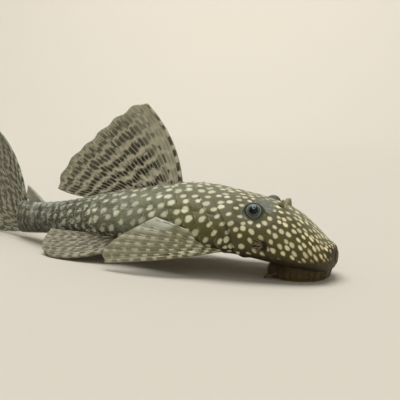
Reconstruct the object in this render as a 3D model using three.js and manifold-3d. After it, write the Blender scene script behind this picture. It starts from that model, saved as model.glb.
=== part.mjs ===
// A bristlenose pleco (Ancistrus), life size, resting on its sucker mouth, the tips of its pelvic fins
// and the lower edge of its tail fin, with the tail swung to its left.
// Millimetres, +Z up, head along +X. The origin is the middle of the lower lip, on the floor.
//
// The fish is drawn straight first: s is the distance behind the snout, y the distance to its left and
// z the height above the floor. place() then lays that on the curve of the body.

import * as THREE from 'three';
import { mergeVertices } from 'three/addons/utils/BufferGeometryUtils.js';
import Module from 'manifold-3d';

const wasm = await Module();
wasm.setup();

// Driving sizes
const bodyLength = 101; // snout to the root of the tail fin
const lipMiddle = 12.5; // the lower lip's middle behind the snout
const bendStart = 38; // the body is straight in front of this
const bendRadius = 101.5; // and swings on an arc of this radius as far as the tail fin
const seam = 0.3; // clear gap between neighbouring pieces

// Body sections: distance behind the snout, top, bottom, half width, height of the widest place,
// and how square the section is above and below that place (2 is an ellipse).
const sections = [
  { s: 0.0, top: 7.4, bottom: 3.8, half: 2.4, wide: 5.6, upper: 2.0, lower: 2.0 },
  { s: 0.4, top: 8.2, bottom: 3.0, half: 4.6, wide: 5.7, upper: 2.0, lower: 2.1 },
  { s: 1.3, top: 8.9, bottom: 2.3, half: 7.0, wide: 5.8, upper: 2.0, lower: 2.3 },
  { s: 2.8, top: 9.8, bottom: 2.0, half: 9.0, wide: 6.0, upper: 2.0, lower: 2.5 },
  { s: 4.6, top: 11.5, bottom: 2.1, half: 10.5, wide: 6.4, upper: 2.0, lower: 2.6 },
  { s: 7.0, top: 13.6, bottom: 2.4, half: 11.9, wide: 7.0, upper: 2.0, lower: 2.6 },
  { s: 10.0, top: 15.9, bottom: 3.0, half: 13.0, wide: 7.7, upper: 2.0, lower: 2.7 },
  { s: 14.0, top: 17.7, bottom: 3.7, half: 14.0, wide: 8.5, upper: 2.1, lower: 2.8 },
  { s: 19.0, top: 19.1, bottom: 4.6, half: 15.0, wide: 9.4, upper: 2.1, lower: 2.8 },
  { s: 24.0, top: 20.1, bottom: 5.2, half: 15.6, wide: 10.2, upper: 2.1, lower: 2.7 },
  { s: 30.0, top: 21.1, bottom: 5.3, half: 15.5, wide: 10.8, upper: 2.0, lower: 2.6 },
  { s: 36.0, top: 21.5, bottom: 5.1, half: 14.4, wide: 11.0, upper: 2.0, lower: 2.6 },
  { s: 42.0, top: 21.0, bottom: 4.9, half: 12.9, wide: 10.9, upper: 2.0, lower: 2.6 },
  { s: 50.0, top: 19.5, bottom: 5.0, half: 11.0, wide: 10.7, upper: 2.0, lower: 2.5 },
  { s: 58.0, top: 17.9, bottom: 5.2, half: 9.3, wide: 10.4, upper: 2.0, lower: 2.4 },
  { s: 66.0, top: 16.0, bottom: 5.1, half: 7.5, wide: 9.8, upper: 2.0, lower: 2.3 },
  { s: 74.0, top: 14.1, bottom: 4.5, half: 5.8, wide: 8.9, upper: 2.0, lower: 2.2 },
  { s: 82.0, top: 12.6, bottom: 3.7, half: 4.4, wide: 8.0, upper: 2.1, lower: 2.2 },
  { s: 91.0, top: 11.6, bottom: 2.6, half: 3.2, wide: 7.1, upper: 2.2, lower: 2.2 },
  { s: 102.0, top: 11.0, bottom: 1.3, half: 2.0, wide: 6.2, upper: 2.2, lower: 2.2 },
];

// Gill line and head
const gillSide = 22.3; // the gill line on the flank, behind the snout
const gillCrown = 9.7; // how much farther back it lies on the crown
const gillBelly = 2.0; // and how much farther forward under the belly
const gillCoverRise = 0.3; // the gill cover's rear edge stands up by this
const headRings = [0, 0.3, 0.9, 1.9, 3.2, 4.8, 6.6, 8.6, 10.6, 12.6, 14.6, 16.6, 18.6, 20.5, 22.3];

// Plates of the trunk and tail, in five rows on each flank
const plates = 24; // in each row, from the gill line to the tail fin
const trunkPlates = 13; // of them on the trunk
const rowEdges = [0, 36, 62, 90, 116, 142]; // degrees round from the back
const bellyPoints = [161, 180];
const plateSlant = 2.2; // the plates' rear edges lie this much farther back at mid flank
const plateRise = 0.35; // a rear edge stands this far above the next plate
const plateGroove = 0.12; // depth of the line between two rows
const plateBulge = 0.4; // a rear edge bows back by this between two rows
const plateStep = 0.12; // half the length of the step down to the next plate

// Eyes: the ball, its place, how many degrees above level it looks and how far out the socket stays
// open, and the low mound of skin round it, which faces up more than the eye
const eye = { radius: 2.2, s: 18.75, y: 10.1, z: 16.25, tilt: 20, opening: 1.2 };
const eyeMound = { sizes: [3.3, 2.75, 1.65], tilt: 45 };

// Nostrils: a pit each side with a hood of skin standing up in front of it
const nostril = { s: 13.5, angle: 13, pit: 0.8, hoodAhead: 1.2, hood: [1.0, 0.9, 1.6] };

// Cheek spines, lying back from a pocket in front of the gill line
const cheek = { s: 15.4, angle: 94, pocket: [2.6, 1.3, 1.5], pocketOut: 0.5 };
const cheekSpine = { count: 9, fan: 24, length: 3.4, radius: 0.28, lift: 0.8 };

// Short bristles on the bare rim of the snout
const bristles = { each: 7, from: 0.9, to: 9.5, angle: 96, length: 1.0, radius: 0.3 };

// Sucker mouth: a round disc with its lip spread flat, the mouth opening in it and a barbel at each
// corner. profile gives the share of the disc's size at each height above the floor.
const disc = {
  s: 9.2,
  halfLength: 7.6,
  halfWidth: 8.6,
  sides: 28,
  profile: [[0.92, 0], [1, 0.5], [1.03, 1.4], [1.0, 2.6], [0.9, 4.6]],
};
const opening = { s: 7.6, halfLength: 2.0, halfWidth: 4.6, depth: 1.2 };
const barbel = { root: [12.2, 6.6, 1.3], bend: [14.4, 8.6, 1.1], tip: [16.4, 9.6, 0.7], radius: 0.55 };

// Fins: points are [s, y, z], for the left side where there are two.
// roots and tips run from the first ray to the last and bow is how the first and the last ray swell.
// ridge is how far a ray stands out of the skin, spine the same for the first ray, and sag how far the
// skin between two rays hangs to one side.
const fins = {
  dorsal: {
    rays: 8,
    roots: [[40.2, 0, 20.2], [50, 0, 18.4], [62.6, 0, 15.6]],
    tips: [[51.3, 0.3, 41.3], [54.9, 0.6, 40.9], [59.5, 0.9, 38.5], [63.8, 1.1, 35.9], [68.0, 1.1, 32.8],
      [71.6, 0.9, 29.9], [75.4, 0.6, 27.2], [79.4, 0.4, 23.3], [82.0, 0.2, 19.4], [82.3, 0, 16.4]],
    bow: [[-2.0, 0.5, 0.9], [0.5, 0.2, -0.9]],
    steps: 6,
    ridge: 0.22,
    spine: 0.5,
    sag: 0.2,
  },
  caudal: {
    rays: 16,
    roots: [[99.4, 0, 10.3], [100.2, 0, 6.2], [99.4, 0, 2.0]],
    tips: [[126.0, 0.8, 32.5], [124.6, 0.8, 25.6], [125.2, 0.3, 18.4], [127.0, -0.8, 10.2],
      [132.0, -2.4, 0.3]],
    bow: [[-2.8, 0.5, 2.1], [0, -1.4, -0.9]],
    steps: 6,
    ridge: 0.2,
    spine: 0.4,
    sag: 0.1,
  },
  adipose: {
    rays: 2,
    roots: [[87.6, 0, 11.2], [95.0, 0, 10.2]],
    tips: [[98.6, 0, 16.0], [99.8, 0, 12.2]],
    bow: [[0, 0, 0.4], [0, 0, 0.2]],
    steps: 4,
    ridge: 0.1,
    spine: 0.4,
    sag: 0,
  },
  anal: {
    rays: 5,
    roots: [[69.4, 0, 5.8], [76.4, 0, 5.2]],
    tips: [[78.6, 0.5, 0.8], [82.2, 0.3, 1.1], [85.2, 0, 2.6]],
    bow: [[0, 0, -0.5], [0, 0, 0]],
    steps: 4,
    ridge: 0.12,
    spine: 0.2,
    sag: 0.05,
  },
  pectoral: {
    rays: 7,
    roots: [[24.4, 11.7, 6.6], [25.9, 12.4, 7.7], [27.4, 12.9, 9.0]],
    tips: [[52.0, 17.2, 1.7], [53.0, 16.6, 4.1], [51.0, 16.0, 7.0], [47.2, 15.0, 10.0], [41.6, 14.2, 13.8]],
    bow: [[-0.3, 3.4, 0.1], [0, 1.8, 0.4]],
    steps: 7,
    ridge: 0.22,
    spine: 0.75,
    sag: 0.35,
  },
  pelvic: {
    rays: 6,
    roots: [[48.6, 7.2, 6.2], [50.6, 6.4, 6.8], [53.0, 5.6, 7.2]],
    tips: [[70.4, 13.6, 0.3], [74.0, 12.2, 1.2], [76.4, 9.6, 3.6], [76.2, 7.2, 6.4]],
    bow: [[0, 2.4, -1.5], [0, 0.9, 0]],
    steps: 6,
    ridge: 0.22,
    spine: 0.45,
    sag: 0.3,
  },
};
const membrane = 0.5; // thickness of the skin between rays
const rayFoot = 0.15; // half a ray's width, as a share of the distance between two rays
const spineFoot = 0.3; // and the width of the first ray
const rayTaper = 0.6; // share of its height that a ray loses on the way to its tip
const scallop = 0.03; // share of a ray's length by which the margin dips between two rays

// Place a point of the straight fish on the curve of the body.
function place([s, y, z]) {
  const turn = Math.max(0, Math.min(s, bodyLength) - bendStart) / bendRadius;
  const straight = Math.min(s, bendStart);
  const beyond = Math.max(0, s - bodyLength);
  const x = lipMiddle - straight - bendRadius * Math.sin(turn) - beyond * Math.cos(turn);
  const across = bendRadius * (1 - Math.cos(turn)) + beyond * Math.sin(turn);
  return new THREE.Vector3(x + y * Math.sin(turn), across + y * Math.cos(turn), z);
}

function mix(a, b, t) {
  return a + (b - a) * t;
}

// A smooth value of one column of the sections at s.
function sectionValue(s, key) {
  const last = sections.length - 1;
  let k = 0;
  while (k < last - 1 && sections[k + 1].s < s) k += 1;
  const at = (i) => sections[Math.min(Math.max(i, 0), last)];
  const [a, b, c, d] = [at(k - 1), at(k), at(k + 1), at(k + 2)];
  const width = c.s - b.s;
  const t = (s - b.s) / width;
  const slopeB = (c[key] - a[key]) / Math.max(c.s - a.s, 1e-6);
  const slopeC = (d[key] - b[key]) / Math.max(d.s - b.s, 1e-6);
  const t2 = t * t;
  const t3 = t2 * t;
  return (2 * t3 - 3 * t2 + 1) * b[key] + (t3 - 2 * t2 + t) * width * slopeB
    + (-2 * t3 + 3 * t2) * c[key] + (t3 - t2) * width * slopeC;
}

// A point of the skin: angle runs from the back (0) over the left flank to the belly (PI), lift is the
// height above the smooth skin.
function skin(s, angle, lift) {
  const half = sectionValue(s, 'half');
  const wide = sectionValue(s, 'wide');
  const above = Math.cos(angle) >= 0;
  const height = above ? sectionValue(s, 'top') - wide : wide - sectionValue(s, 'bottom');
  const power = 2 / sectionValue(s, above ? 'upper' : 'lower');
  const across = Math.sign(Math.sin(angle)) * Math.abs(Math.sin(angle)) ** power * half;
  const up = Math.sign(Math.cos(angle)) * Math.abs(Math.cos(angle)) ** power * height;
  const normal = new THREE.Vector2(across / (half * half), up / (height * height)).normalize();
  return [s, across + normal.x * lift, wide + up + normal.y * lift];
}

function gillLine(angle) {
  const c = Math.cos(angle);
  return gillSide + (c > 0 ? gillCrown * c ** 1.5 : gillBelly * c);
}

// A closed solid through rings of points, capped at both ends.
function loft(rings) {
  const count = rings[0].length;
  const points = rings.flat().map(place);
  const middle = (ring) => {
    const sum = ring.reduce((m, p) => [m[0] + p[0], m[1] + p[1], m[2] + p[2]], [0, 0, 0]);
    return place(sum.map((v) => v / ring.length));
  };
  const front = points.push(middle(rings[0])) - 1;
  const back = points.push(middle(rings[rings.length - 1])) - 1;
  const faces = [];
  for (let k = 0; k < rings.length - 1; k += 1) {
    for (let i = 0; i < count; i += 1) {
      const j = (i + 1) % count;
      const [a, b, c, d] = [k * count + i, k * count + j, (k + 1) * count + i, (k + 1) * count + j];
      faces.push(a, b, c, b, d, c);
    }
  }
  const tail = (rings.length - 1) * count;
  for (let i = 0; i < count; i += 1) {
    const j = (i + 1) % count;
    faces.push(front, j, i, back, tail + i, tail + j);
  }
  return geometryOf(points, faces);
}

function geometryOf(points, faces) {
  const geometry = new THREE.BufferGeometry();
  geometry.setAttribute('position', new THREE.Float32BufferAttribute(points.flatMap((p) => p.toArray()), 3));
  geometry.setIndex(faces);
  return geometry;
}

// Solids for joining and cutting
function solidOf(geometry) {
  const bare = geometry.clone();
  bare.deleteAttribute('normal');
  bare.deleteAttribute('uv');
  const merged = mergeVertices(bare, 1e-5);
  return new wasm.Manifold(new wasm.Mesh({
    numProp: 3,
    vertProperties: Float32Array.from(merged.attributes.position.array),
    triVerts: Uint32Array.from(merged.index.array),
  }));
}

function largest(solid) {
  return solid.decompose().sort((a, b) => b.volume() - a.volume())[0];
}

function geometryFrom(solid) {
  const mesh = largest(solid).getMesh();
  const geometry = new THREE.BufferGeometry();
  geometry.setAttribute('position', new THREE.BufferAttribute(Float32Array.from(mesh.vertProperties), 3));
  geometry.setIndex(new THREE.BufferAttribute(Uint32Array.from(mesh.triVerts), 1));
  return geometry;
}

// The points round a body ring: their angle, and 1 on a plate, 0 in a groove or -1 on the bare belly
function ringLayout() {
  const flank = [];
  for (let row = 0; row < rowEdges.length - 1; row += 1) {
    const width = rowEdges[row + 1] - rowEdges[row];
    flank.push({ angle: rowEdges[row] + 0.3 * width, plate: 1 });
    flank.push({ angle: rowEdges[row] + 0.7 * width, plate: 1 });
    flank.push({ angle: rowEdges[row + 1], plate: 0 });
  }
  flank.push({ angle: bellyPoints[0], plate: -1 });
  const mirrored = flank.map(({ angle, plate }) => ({ angle: 360 - angle, plate })).reverse();
  const ring = [{ angle: 0, plate: 0 }, ...flank, { angle: bellyPoints[1], plate: -1 }, ...mirrored];
  return ring.map(({ angle, plate }) => ({ angle: THREE.MathUtils.degToRad(angle), plate }));
}

const layout = ringLayout();

// The head, from the snout to the gill line, with the edge of the gill cover standing up
function headSolid(lift) {
  const rings = headRings.map((s) => layout.map(({ angle }) => {
    const share = (s / gillSide) ** 3;
    const rise = s === gillSide ? gillCoverRise : 0;
    return skin(s + (gillLine(angle) - gillSide) * share, angle, lift + rise);
  }));
  return solidOf(loft(rings));
}

// Where the rear edge of plate number u lies
function plateEdge(u, angle, plate) {
  const easing = Math.min(1, u / 4, (plates - u) / 3);
  const swing = plateSlant * Math.sin(angle) ** 2 * easing;
  const bulge = plateBulge * Math.max(0, plate) * Math.min(1, u, plates - u);
  return mix(gillLine(angle) + seam, bodyLength, u / plates) + swing + bulge;
}

// A length of the plated body. Every plate starts under the rear edge of the one before and rises to
// its own rear edge.
function platedSolid(from, to, lift) {
  const frontHeights = [0, -plateGroove, 0];
  const rearHeights = [0, 0, plateRise];
  const rings = [];
  for (let u = from; u <= to; u += 1) {
    if (u > from) {
      const end = u === plates ? lift : -plateStep;
      rings.push(layout.map(({ angle, plate }) => (
        skin(plateEdge(u, angle, plate) + end, angle, lift + rearHeights[plate + 1])
      )));
    }
    if (u < to) {
      const start = u === from && from > 0 ? seam - plateStep : plateStep;
      rings.push(layout.map(({ angle, plate }) => (
        skin(plateEdge(u, angle, plate) + start, angle, lift + frontHeights[plate + 1])
      )));
    }
  }
  return solidOf(loft(rings));
}

// A fin's middle surface and the way it faces, at share a across its rays and share b along them
function finSurface(fin, side) {
  const vectors = (list) => list.map((p) => new THREE.Vector3(...p));
  const roots = new THREE.CatmullRomCurve3(vectors(fin.roots), false, 'centripetal');
  const tips = new THREE.CatmullRomCurve3(vectors(fin.tips), false, 'centripetal');
  const [firstBow, lastBow] = vectors(fin.bow);
  const smooth = (a, b) => {
    const swell = firstBow.clone().lerp(lastBow, a).multiplyScalar(4 * b * (1 - b));
    const p = roots.getPoint(a).lerp(tips.getPoint(a), b).add(swell);
    return place([p.x, side * p.y, p.z]);
  };
  const step = 1e-3;
  const facing = (a, b) => {
    const alongA = smooth(Math.min(1, a + step), b).sub(smooth(Math.max(0, a - step), b));
    const alongB = smooth(a, b + step).sub(smooth(a, b - step));
    return alongA.cross(alongB).normalize();
  };
  const point = (a, b) => {
    const between = Math.sin(Math.PI * a * (fin.rays - 1)) ** 2;
    const along = b * (1 - scallop * between);
    return smooth(a, along).addScaledVector(facing(a, along), fin.sag * between * b);
  };
  return { point, facing };
}

// Each ray stands out on both faces as a ridge with the skin between them. The first is broader.
function finThickness(fin, a, b) {
  const interval = a * (fin.rays - 1);
  const taper = 1 - rayTaper * b;
  if (interval < spineFoot + 0.01) return membrane + 2 * fin.spine * taper * (interval < 0.01 ? 1 : 0.7);
  const offCentre = Math.abs(interval - Math.round(interval));
  return offCentre > rayFoot * 0.5 ? membrane : membrane + 2 * fin.ridge * taper;
}

function finShares(fin) {
  const intervals = fin.rays - 1;
  const shares = [0, spineFoot, spineFoot + rayFoot, 1 - rayFoot];
  for (let i = 1; i < intervals; i += 1) shares.push(i, i + rayFoot, i + 0.5, i + 1 - rayFoot);
  return [...shares, intervals].map((share) => share / intervals);
}

// A thin sheet with both faces split into triangles alike
function sheet({ point, facing }, thickness, across, along) {
  const front = [];
  const back = [];
  for (const a of across) {
    for (const b of along) {
      const [middle, half] = [point(a, b), thickness(a, b) / 2];
      front.push(middle.clone().addScaledVector(facing(a, b), half));
      back.push(middle.clone().addScaledVector(facing(a, b), -half));
    }
  }
  const rows = along.length;
  const other = front.length;
  const faces = [];
  const rim = (p, q) => faces.push(q, p, p + other, q, p + other, q + other);
  for (let i = 0; i < across.length - 1; i += 1) {
    for (let j = 0; j < rows - 1; j += 1) {
      const [a, b, c, d] = [i * rows + j, (i + 1) * rows + j, i * rows + j + 1, (i + 1) * rows + j + 1];
      faces.push(a, b, c, b, d, c);
      faces.push(a + other, c + other, b + other, b + other, c + other, d + other);
    }
  }
  const lastRow = (across.length - 1) * rows;
  for (let i = 0; i < across.length - 1; i += 1) {
    rim(i * rows, (i + 1) * rows);
    rim((i + 1) * rows + rows - 1, i * rows + rows - 1);
  }
  for (let j = 0; j < rows - 1; j += 1) {
    rim(lastRow + j, lastRow + j + 1);
    rim(j + 1, j);
  }
  return geometryOf([...front, ...back], faces);
}

// A paired fin on the inner side of the bend, with its rays as long as those on the outer side
function innerFin(fin) {
  const from = Math.max(bendStart, fin.roots[0][0]);
  const tips = fin.tips.map(([s, y, z]) => (
    [s + Math.max(0, s - from) * 2 * y / (bendRadius - y), y, z]
  ));
  return { ...fin, tips };
}

function finSolid(fin, side) {
  const along = Array.from({ length: fin.steps + 1 }, (_, i) => i / fin.steps);
  const thickness = (a, b) => finThickness(fin, a, b);
  return solidOf(sheet(finSurface(fin, side), thickness, finShares(fin), along));
}

// A round spike through three points of the straight fish, drawn out to its tip
function spike(root, bend, tip, radius) {
  const sides = 5;
  const [p, q, r] = [root, bend, tip].map(place);
  const points = [];
  for (const [middle, next, size] of [[p, q, radius], [q, r, 0.7 * radius]]) {
    const along = next.clone().sub(middle).normalize();
    const across = new THREE.Vector3(0, 0, 1).cross(along);
    if (across.length() < 0.2) across.set(0, 1, 0);
    across.normalize();
    const up = along.clone().cross(across);
    for (let i = 0; i < sides; i += 1) {
      const turn = (i * 2 * Math.PI) / sides;
      const out = across.clone().multiplyScalar(Math.cos(turn)).addScaledVector(up, Math.sin(turn));
      points.push(middle.clone().addScaledVector(out, size));
    }
  }
  const apex = points.push(r) - 1;
  const faces = [];
  for (let i = 0; i < sides; i += 1) {
    const j = (i + 1) % sides;
    faces.push(i, j, sides + i, j, sides + j, sides + i, sides + i, sides + j, apex);
    if (i > 0 && j > 0) faces.push(0, j, i);
  }
  return solidOf(geometryOf(points, faces));
}

// Everything under the floor is cut away, which leaves small flats where the fish rests
function floorBlock() {
  const block = new THREE.BoxGeometry(400, 400, 50);
  block.translate(0, 0, -25);
  return solidOf(block);
}

// The sucker mouth
function mouthSolid() {
  const { profile, sides } = disc;
  const points = [];
  for (const [share, z] of profile) {
    for (let i = 0; i < sides; i += 1) {
      const angle = (i * 2 * Math.PI) / sides;
      const s = disc.s - disc.halfLength * share * Math.cos(angle);
      points.push(place([s, disc.halfWidth * share * Math.sin(angle), z]));
    }
  }
  const top = profile.length - 1;
  const low = points.push(place([disc.s, 0, 0])) - 1;
  const high = points.push(place([disc.s, 0, profile[top][1]])) - 1;
  const topRing = top * sides;
  const faces = [];
  for (let i = 0; i < sides; i += 1) {
    const j = (i + 1) % sides;
    for (let k = 0; k < top; k += 1) {
      const [a, b, c, d] = [k * sides + i, k * sides + j, (k + 1) * sides + i, (k + 1) * sides + j];
      faces.push(a, b, c, b, d, c);
    }
    faces.push(low, j, i, high, topRing + i, topRing + j);
  }
  const hollow = new THREE.SphereGeometry(1, 16, 8);
  hollow.scale(opening.halfLength, opening.halfWidth, opening.depth);
  hollow.translate(...place([opening.s, 0, 0]).toArray());
  let mouth = solidOf(geometryOf(points, faces)).subtract(solidOf(hollow));
  for (const side of [1, -1]) {
    const [root, bend, tip] = [barbel.root, barbel.bend, barbel.tip].map(([s, y, z]) => [s, side * y, z]);
    mouth = mouth.add(spike(root, bend, tip, barbel.radius));
  }
  return mouth;
}

function outward(side, degrees) {
  const tilt = THREE.MathUtils.degToRad(degrees);
  return new THREE.Vector3(0, side * Math.cos(tilt), Math.sin(tilt));
}

// A ball on the axis that the eye looks along, out from the eye's middle
function eyeBall(side, radius, out) {
  const ball = new THREE.SphereGeometry(radius, 18, 12);
  const middle = place([eye.s, side * eye.y, eye.z]).addScaledVector(outward(side, eye.tilt), out);
  ball.translate(...middle.toArray());
  return solidOf(ball);
}

function moundSolid(side) {
  const mound = new THREE.SphereGeometry(1, 20, 12);
  mound.scale(...eyeMound.sizes);
  const up = new THREE.Vector3(0, 0, 1);
  mound.applyQuaternion(new THREE.Quaternion().setFromUnitVectors(up, outward(side, eyeMound.tilt)));
  mound.translate(...place([eye.s, side * eye.y, eye.z]).toArray());
  return solidOf(mound);
}

// A soft lump at a place on the skin
function lump(s, degrees, lift, sizes) {
  const ball = new THREE.SphereGeometry(1, 10, 6);
  ball.scale(...sizes);
  ball.translate(...place(skin(s, THREE.MathUtils.degToRad(degrees), lift)).toArray());
  return solidOf(ball);
}

// Even draws between -1 and 1 from a fixed seed
function seededDraws(seed) {
  let state = seed;
  return () => {
    state = (state * 1103515245 + 12345) % 2147483648;
    return (state / 2147483648) * 2 - 1;
  };
}

function cheekSpines(side, draw) {
  const spines = [];
  for (let i = 0; i < cheekSpine.count; i += 1) {
    const share = i / (cheekSpine.count - 1);
    const length = cheekSpine.length * (0.6 + 0.4 * Math.sin(Math.PI * share)) * (1 + 0.12 * draw());
    const rootAngle = cheek.angle + (share - 0.5) * 0.5 * cheekSpine.fan;
    const tipAngle = cheek.angle + (share - 0.5) * cheekSpine.fan + 2 * draw();
    const at = (s, degrees, lift) => skin(s, THREE.MathUtils.degToRad(side * degrees), lift);
    const root = at(cheek.s, rootAngle, -1.2);
    const bend = at(cheek.s + 0.45 * length, (rootAngle + tipAngle) / 2, 0.55);
    const tip = at(cheek.s + length, tipAngle, cheekSpine.lift + 0.2 * draw());
    spines.push(spike(root, bend, tip, cheekSpine.radius));
  }
  return spines;
}

function snoutBristles(side, draw) {
  const spines = [];
  for (let i = 0; i < bristles.each; i += 1) {
    const share = (i + 0.5) / bristles.each;
    const s = mix(bristles.from, bristles.to, share ** 1.4);
    const length = bristles.length * (1 + 0.25 * draw());
    const degrees = side * (bristles.angle + 6 * draw());
    const at = (along, lift) => skin(Math.max(0.2, s + along), THREE.MathUtils.degToRad(degrees), lift);
    const lean = 0.4 * draw();
    const root = at(0, -0.8);
    const [, y0, z0] = at(0, 0);
    const out = new THREE.Vector2(-(1 - share), side * (0.35 + share)).normalize();
    const bend = [s + out.x * 0.3 * length, y0 + out.y * 0.3 * length, z0 + 0.1];
    const tip = [s + out.x * length + lean * 0.3, y0 + out.y * length, z0 + 0.45 * length];
    spines.push(spike(root, bend, tip, bristles.radius));
  }
  return spines;
}

// The head with its eye mounds, nostrils, cheek spines and snout bristles
function dressedHead() {
  const draw = seededDraws(7);
  let head = headSolid(0);
  for (const side of [1, -1]) {
    head = head.subtract(lump(cheek.s, side * cheek.angle, cheek.pocketOut, cheek.pocket));
    head = head.add(moundSolid(side));
    head = head.add(lump(nostril.s - nostril.hoodAhead, side * nostril.angle, 0.1, nostril.hood));
    const pit = [nostril.pit, nostril.pit, nostril.pit];
    head = head.subtract(lump(nostril.s, side * nostril.angle, 0.3, pit));
    for (const spine of cheekSpines(side, draw)) head = head.add(spine);
    for (const bristle of snoutBristles(side, draw)) head = head.add(bristle);
    for (const out of [0, eye.opening]) head = head.subtract(eyeBall(side, eye.radius + seam, out));
  }
  return head;
}

const skinMaterial = new THREE.MeshStandardMaterial({ color: 0x5d5838, roughness: 0.55, metalness: 0 });
const tailMaterial = new THREE.MeshStandardMaterial({ color: 0x797b6e, roughness: 0.55, metalness: 0 });
const lipMaterial = new THREE.MeshStandardMaterial({ color: 0x756241, roughness: 0.6, metalness: 0 });
const finMaterial = new THREE.MeshStandardMaterial({ color: 0x8c8a70, roughness: 0.45, metalness: 0 });
const eyeMaterial = new THREE.MeshStandardMaterial({ color: 0x1e271e, roughness: 0.1, metalness: 0 });

const fish = new THREE.Group();

function add(name, solid, material) {
  const mesh = new THREE.Mesh(geometryFrom(solid), material);
  mesh.name = name;
  fish.add(mesh);
}

const floor = floorBlock();
// The body with the clear gap round it, which the roots of fins and lips are cut by. The tail's reaches
// one plate into the trunk, so that no fin fills the gap between those two.
const around = {
  head: headSolid(seam),
  trunk: platedSolid(0, trunkPlates, seam),
  tail: platedSolid(trunkPlates - 1, plates, seam),
};

add('head', dressedHead(), skinMaterial);
add('mouth_disc', mouthSolid().subtract(around.head).subtract(floor), lipMaterial);
add('trunk', platedSolid(0, trunkPlates, 0), skinMaterial);
add('tail', platedSolid(trunkPlates, plates, 0), tailMaterial);
add('dorsal_fin', finSolid(fins.dorsal, 1).subtract(around.trunk).subtract(around.tail), finMaterial);
add('adipose_fin', finSolid(fins.adipose, 1).subtract(around.tail), finMaterial);
add('anal_fin', finSolid(fins.anal, 1).subtract(around.tail), finMaterial);
add('caudal_fin', finSolid(fins.caudal, 1).subtract(around.tail).subtract(floor), finMaterial);
for (const [side, word] of [[1, 'left'], [-1, 'right']]) {
  const [pectoral, pelvic] = [fins.pectoral, fins.pelvic].map((fin) => (
    finSolid(side > 0 ? innerFin(fin) : fin, side).subtract(around.trunk).subtract(around.tail)
  ));
  add(`pectoral_fin_${word}`, pectoral.subtract(around.head), finMaterial);
  add(`pelvic_fin_${word}`, pelvic.subtract(floor), finMaterial);
  add(`eye_${word}`, eyeBall(side, eye.radius, 0), eyeMaterial);
}

export default fish;
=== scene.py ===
import math
import random
from functools import partial

import bmesh
import bpy
import numpy as np
from mathutils import Matrix, Vector


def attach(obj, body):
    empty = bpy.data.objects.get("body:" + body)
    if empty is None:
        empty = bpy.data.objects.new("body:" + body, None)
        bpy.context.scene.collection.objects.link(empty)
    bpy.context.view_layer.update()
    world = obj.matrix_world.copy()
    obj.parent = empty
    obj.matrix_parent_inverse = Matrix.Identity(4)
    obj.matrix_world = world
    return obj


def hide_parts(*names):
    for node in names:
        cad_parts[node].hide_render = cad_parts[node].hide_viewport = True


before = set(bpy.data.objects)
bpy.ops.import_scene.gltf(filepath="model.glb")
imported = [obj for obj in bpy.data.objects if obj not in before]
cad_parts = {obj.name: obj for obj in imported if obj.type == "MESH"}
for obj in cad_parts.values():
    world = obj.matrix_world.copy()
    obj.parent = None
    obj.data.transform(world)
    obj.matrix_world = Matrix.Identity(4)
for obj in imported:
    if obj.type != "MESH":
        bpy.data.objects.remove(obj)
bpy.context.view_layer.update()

bl_info = {
    "name": "Bristlenose Pleco",
    "version": (1, 0, 0),
    "blender": (4, 5, 0),
    "location": "View3D > Sidebar > Pleco",
    "description": "Builds a life-size bristlenose pleco over its solid model",
    "category": "Add Mesh",
}

MM = 0.001
TINY = 1e-9  # keeps a division by nothing from failing
SIDES = ((1, "left"), (-1, "right"))

# The straight fish, in millimetres: s is the distance behind the snout, y to the fish's left and z up.
BODY_LENGTH = 101.0
LIP_MIDDLE = 12.5
BEND_START = 38.0
BEND_RADIUS = 101.5

# Sections: s, top, bottom, half the width, the height of the widest place, and how square it is above and
# below that, from 2, an ellipse, upwards
SECTIONS = np.array([
    (0.0, 7.4, 3.8, 2.4, 5.6, 2.0, 2.0),
    (0.4, 8.2, 3.0, 4.6, 5.7, 2.0, 2.1),
    (1.3, 8.9, 2.3, 7.0, 5.8, 2.0, 2.3),
    (2.8, 9.8, 2.0, 9.0, 6.0, 2.0, 2.5),
    (4.6, 11.5, 2.1, 10.5, 6.4, 2.0, 2.6),
    (7.0, 13.6, 2.4, 11.9, 7.0, 2.0, 2.6),
    (10.0, 15.9, 3.0, 13.0, 7.7, 2.0, 2.7),
    (14.0, 17.7, 3.7, 14.0, 8.5, 2.1, 2.8),
    (19.0, 19.1, 4.6, 15.0, 9.4, 2.1, 2.8),
    (24.0, 20.1, 5.2, 15.6, 10.2, 2.1, 2.7),
    (30.0, 21.1, 5.3, 15.5, 10.8, 2.0, 2.6),
    (36.0, 21.5, 5.1, 14.4, 11.0, 2.0, 2.6),
    (42.0, 21.0, 4.9, 12.9, 10.9, 2.0, 2.6),
    (50.0, 19.5, 5.0, 11.0, 10.7, 2.0, 2.5),
    (58.0, 17.9, 5.2, 9.3, 10.4, 2.0, 2.4),
    (66.0, 16.0, 5.1, 7.5, 9.8, 2.0, 2.3),
    (74.0, 14.1, 4.5, 5.8, 8.9, 2.0, 2.2),
    (82.0, 12.6, 3.7, 4.4, 8.0, 2.1, 2.2),
    (91.0, 11.6, 2.6, 3.2, 7.1, 2.2, 2.2),
    (102.0, 11.0, 1.3, 2.0, 6.2, 2.2, 2.2),
])

# Heights of the middle of the snout's tip and of the tail fin's root
SNOUT_MIDDLE = 5.6
TAIL_MIDDLE = 6.2

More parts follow.
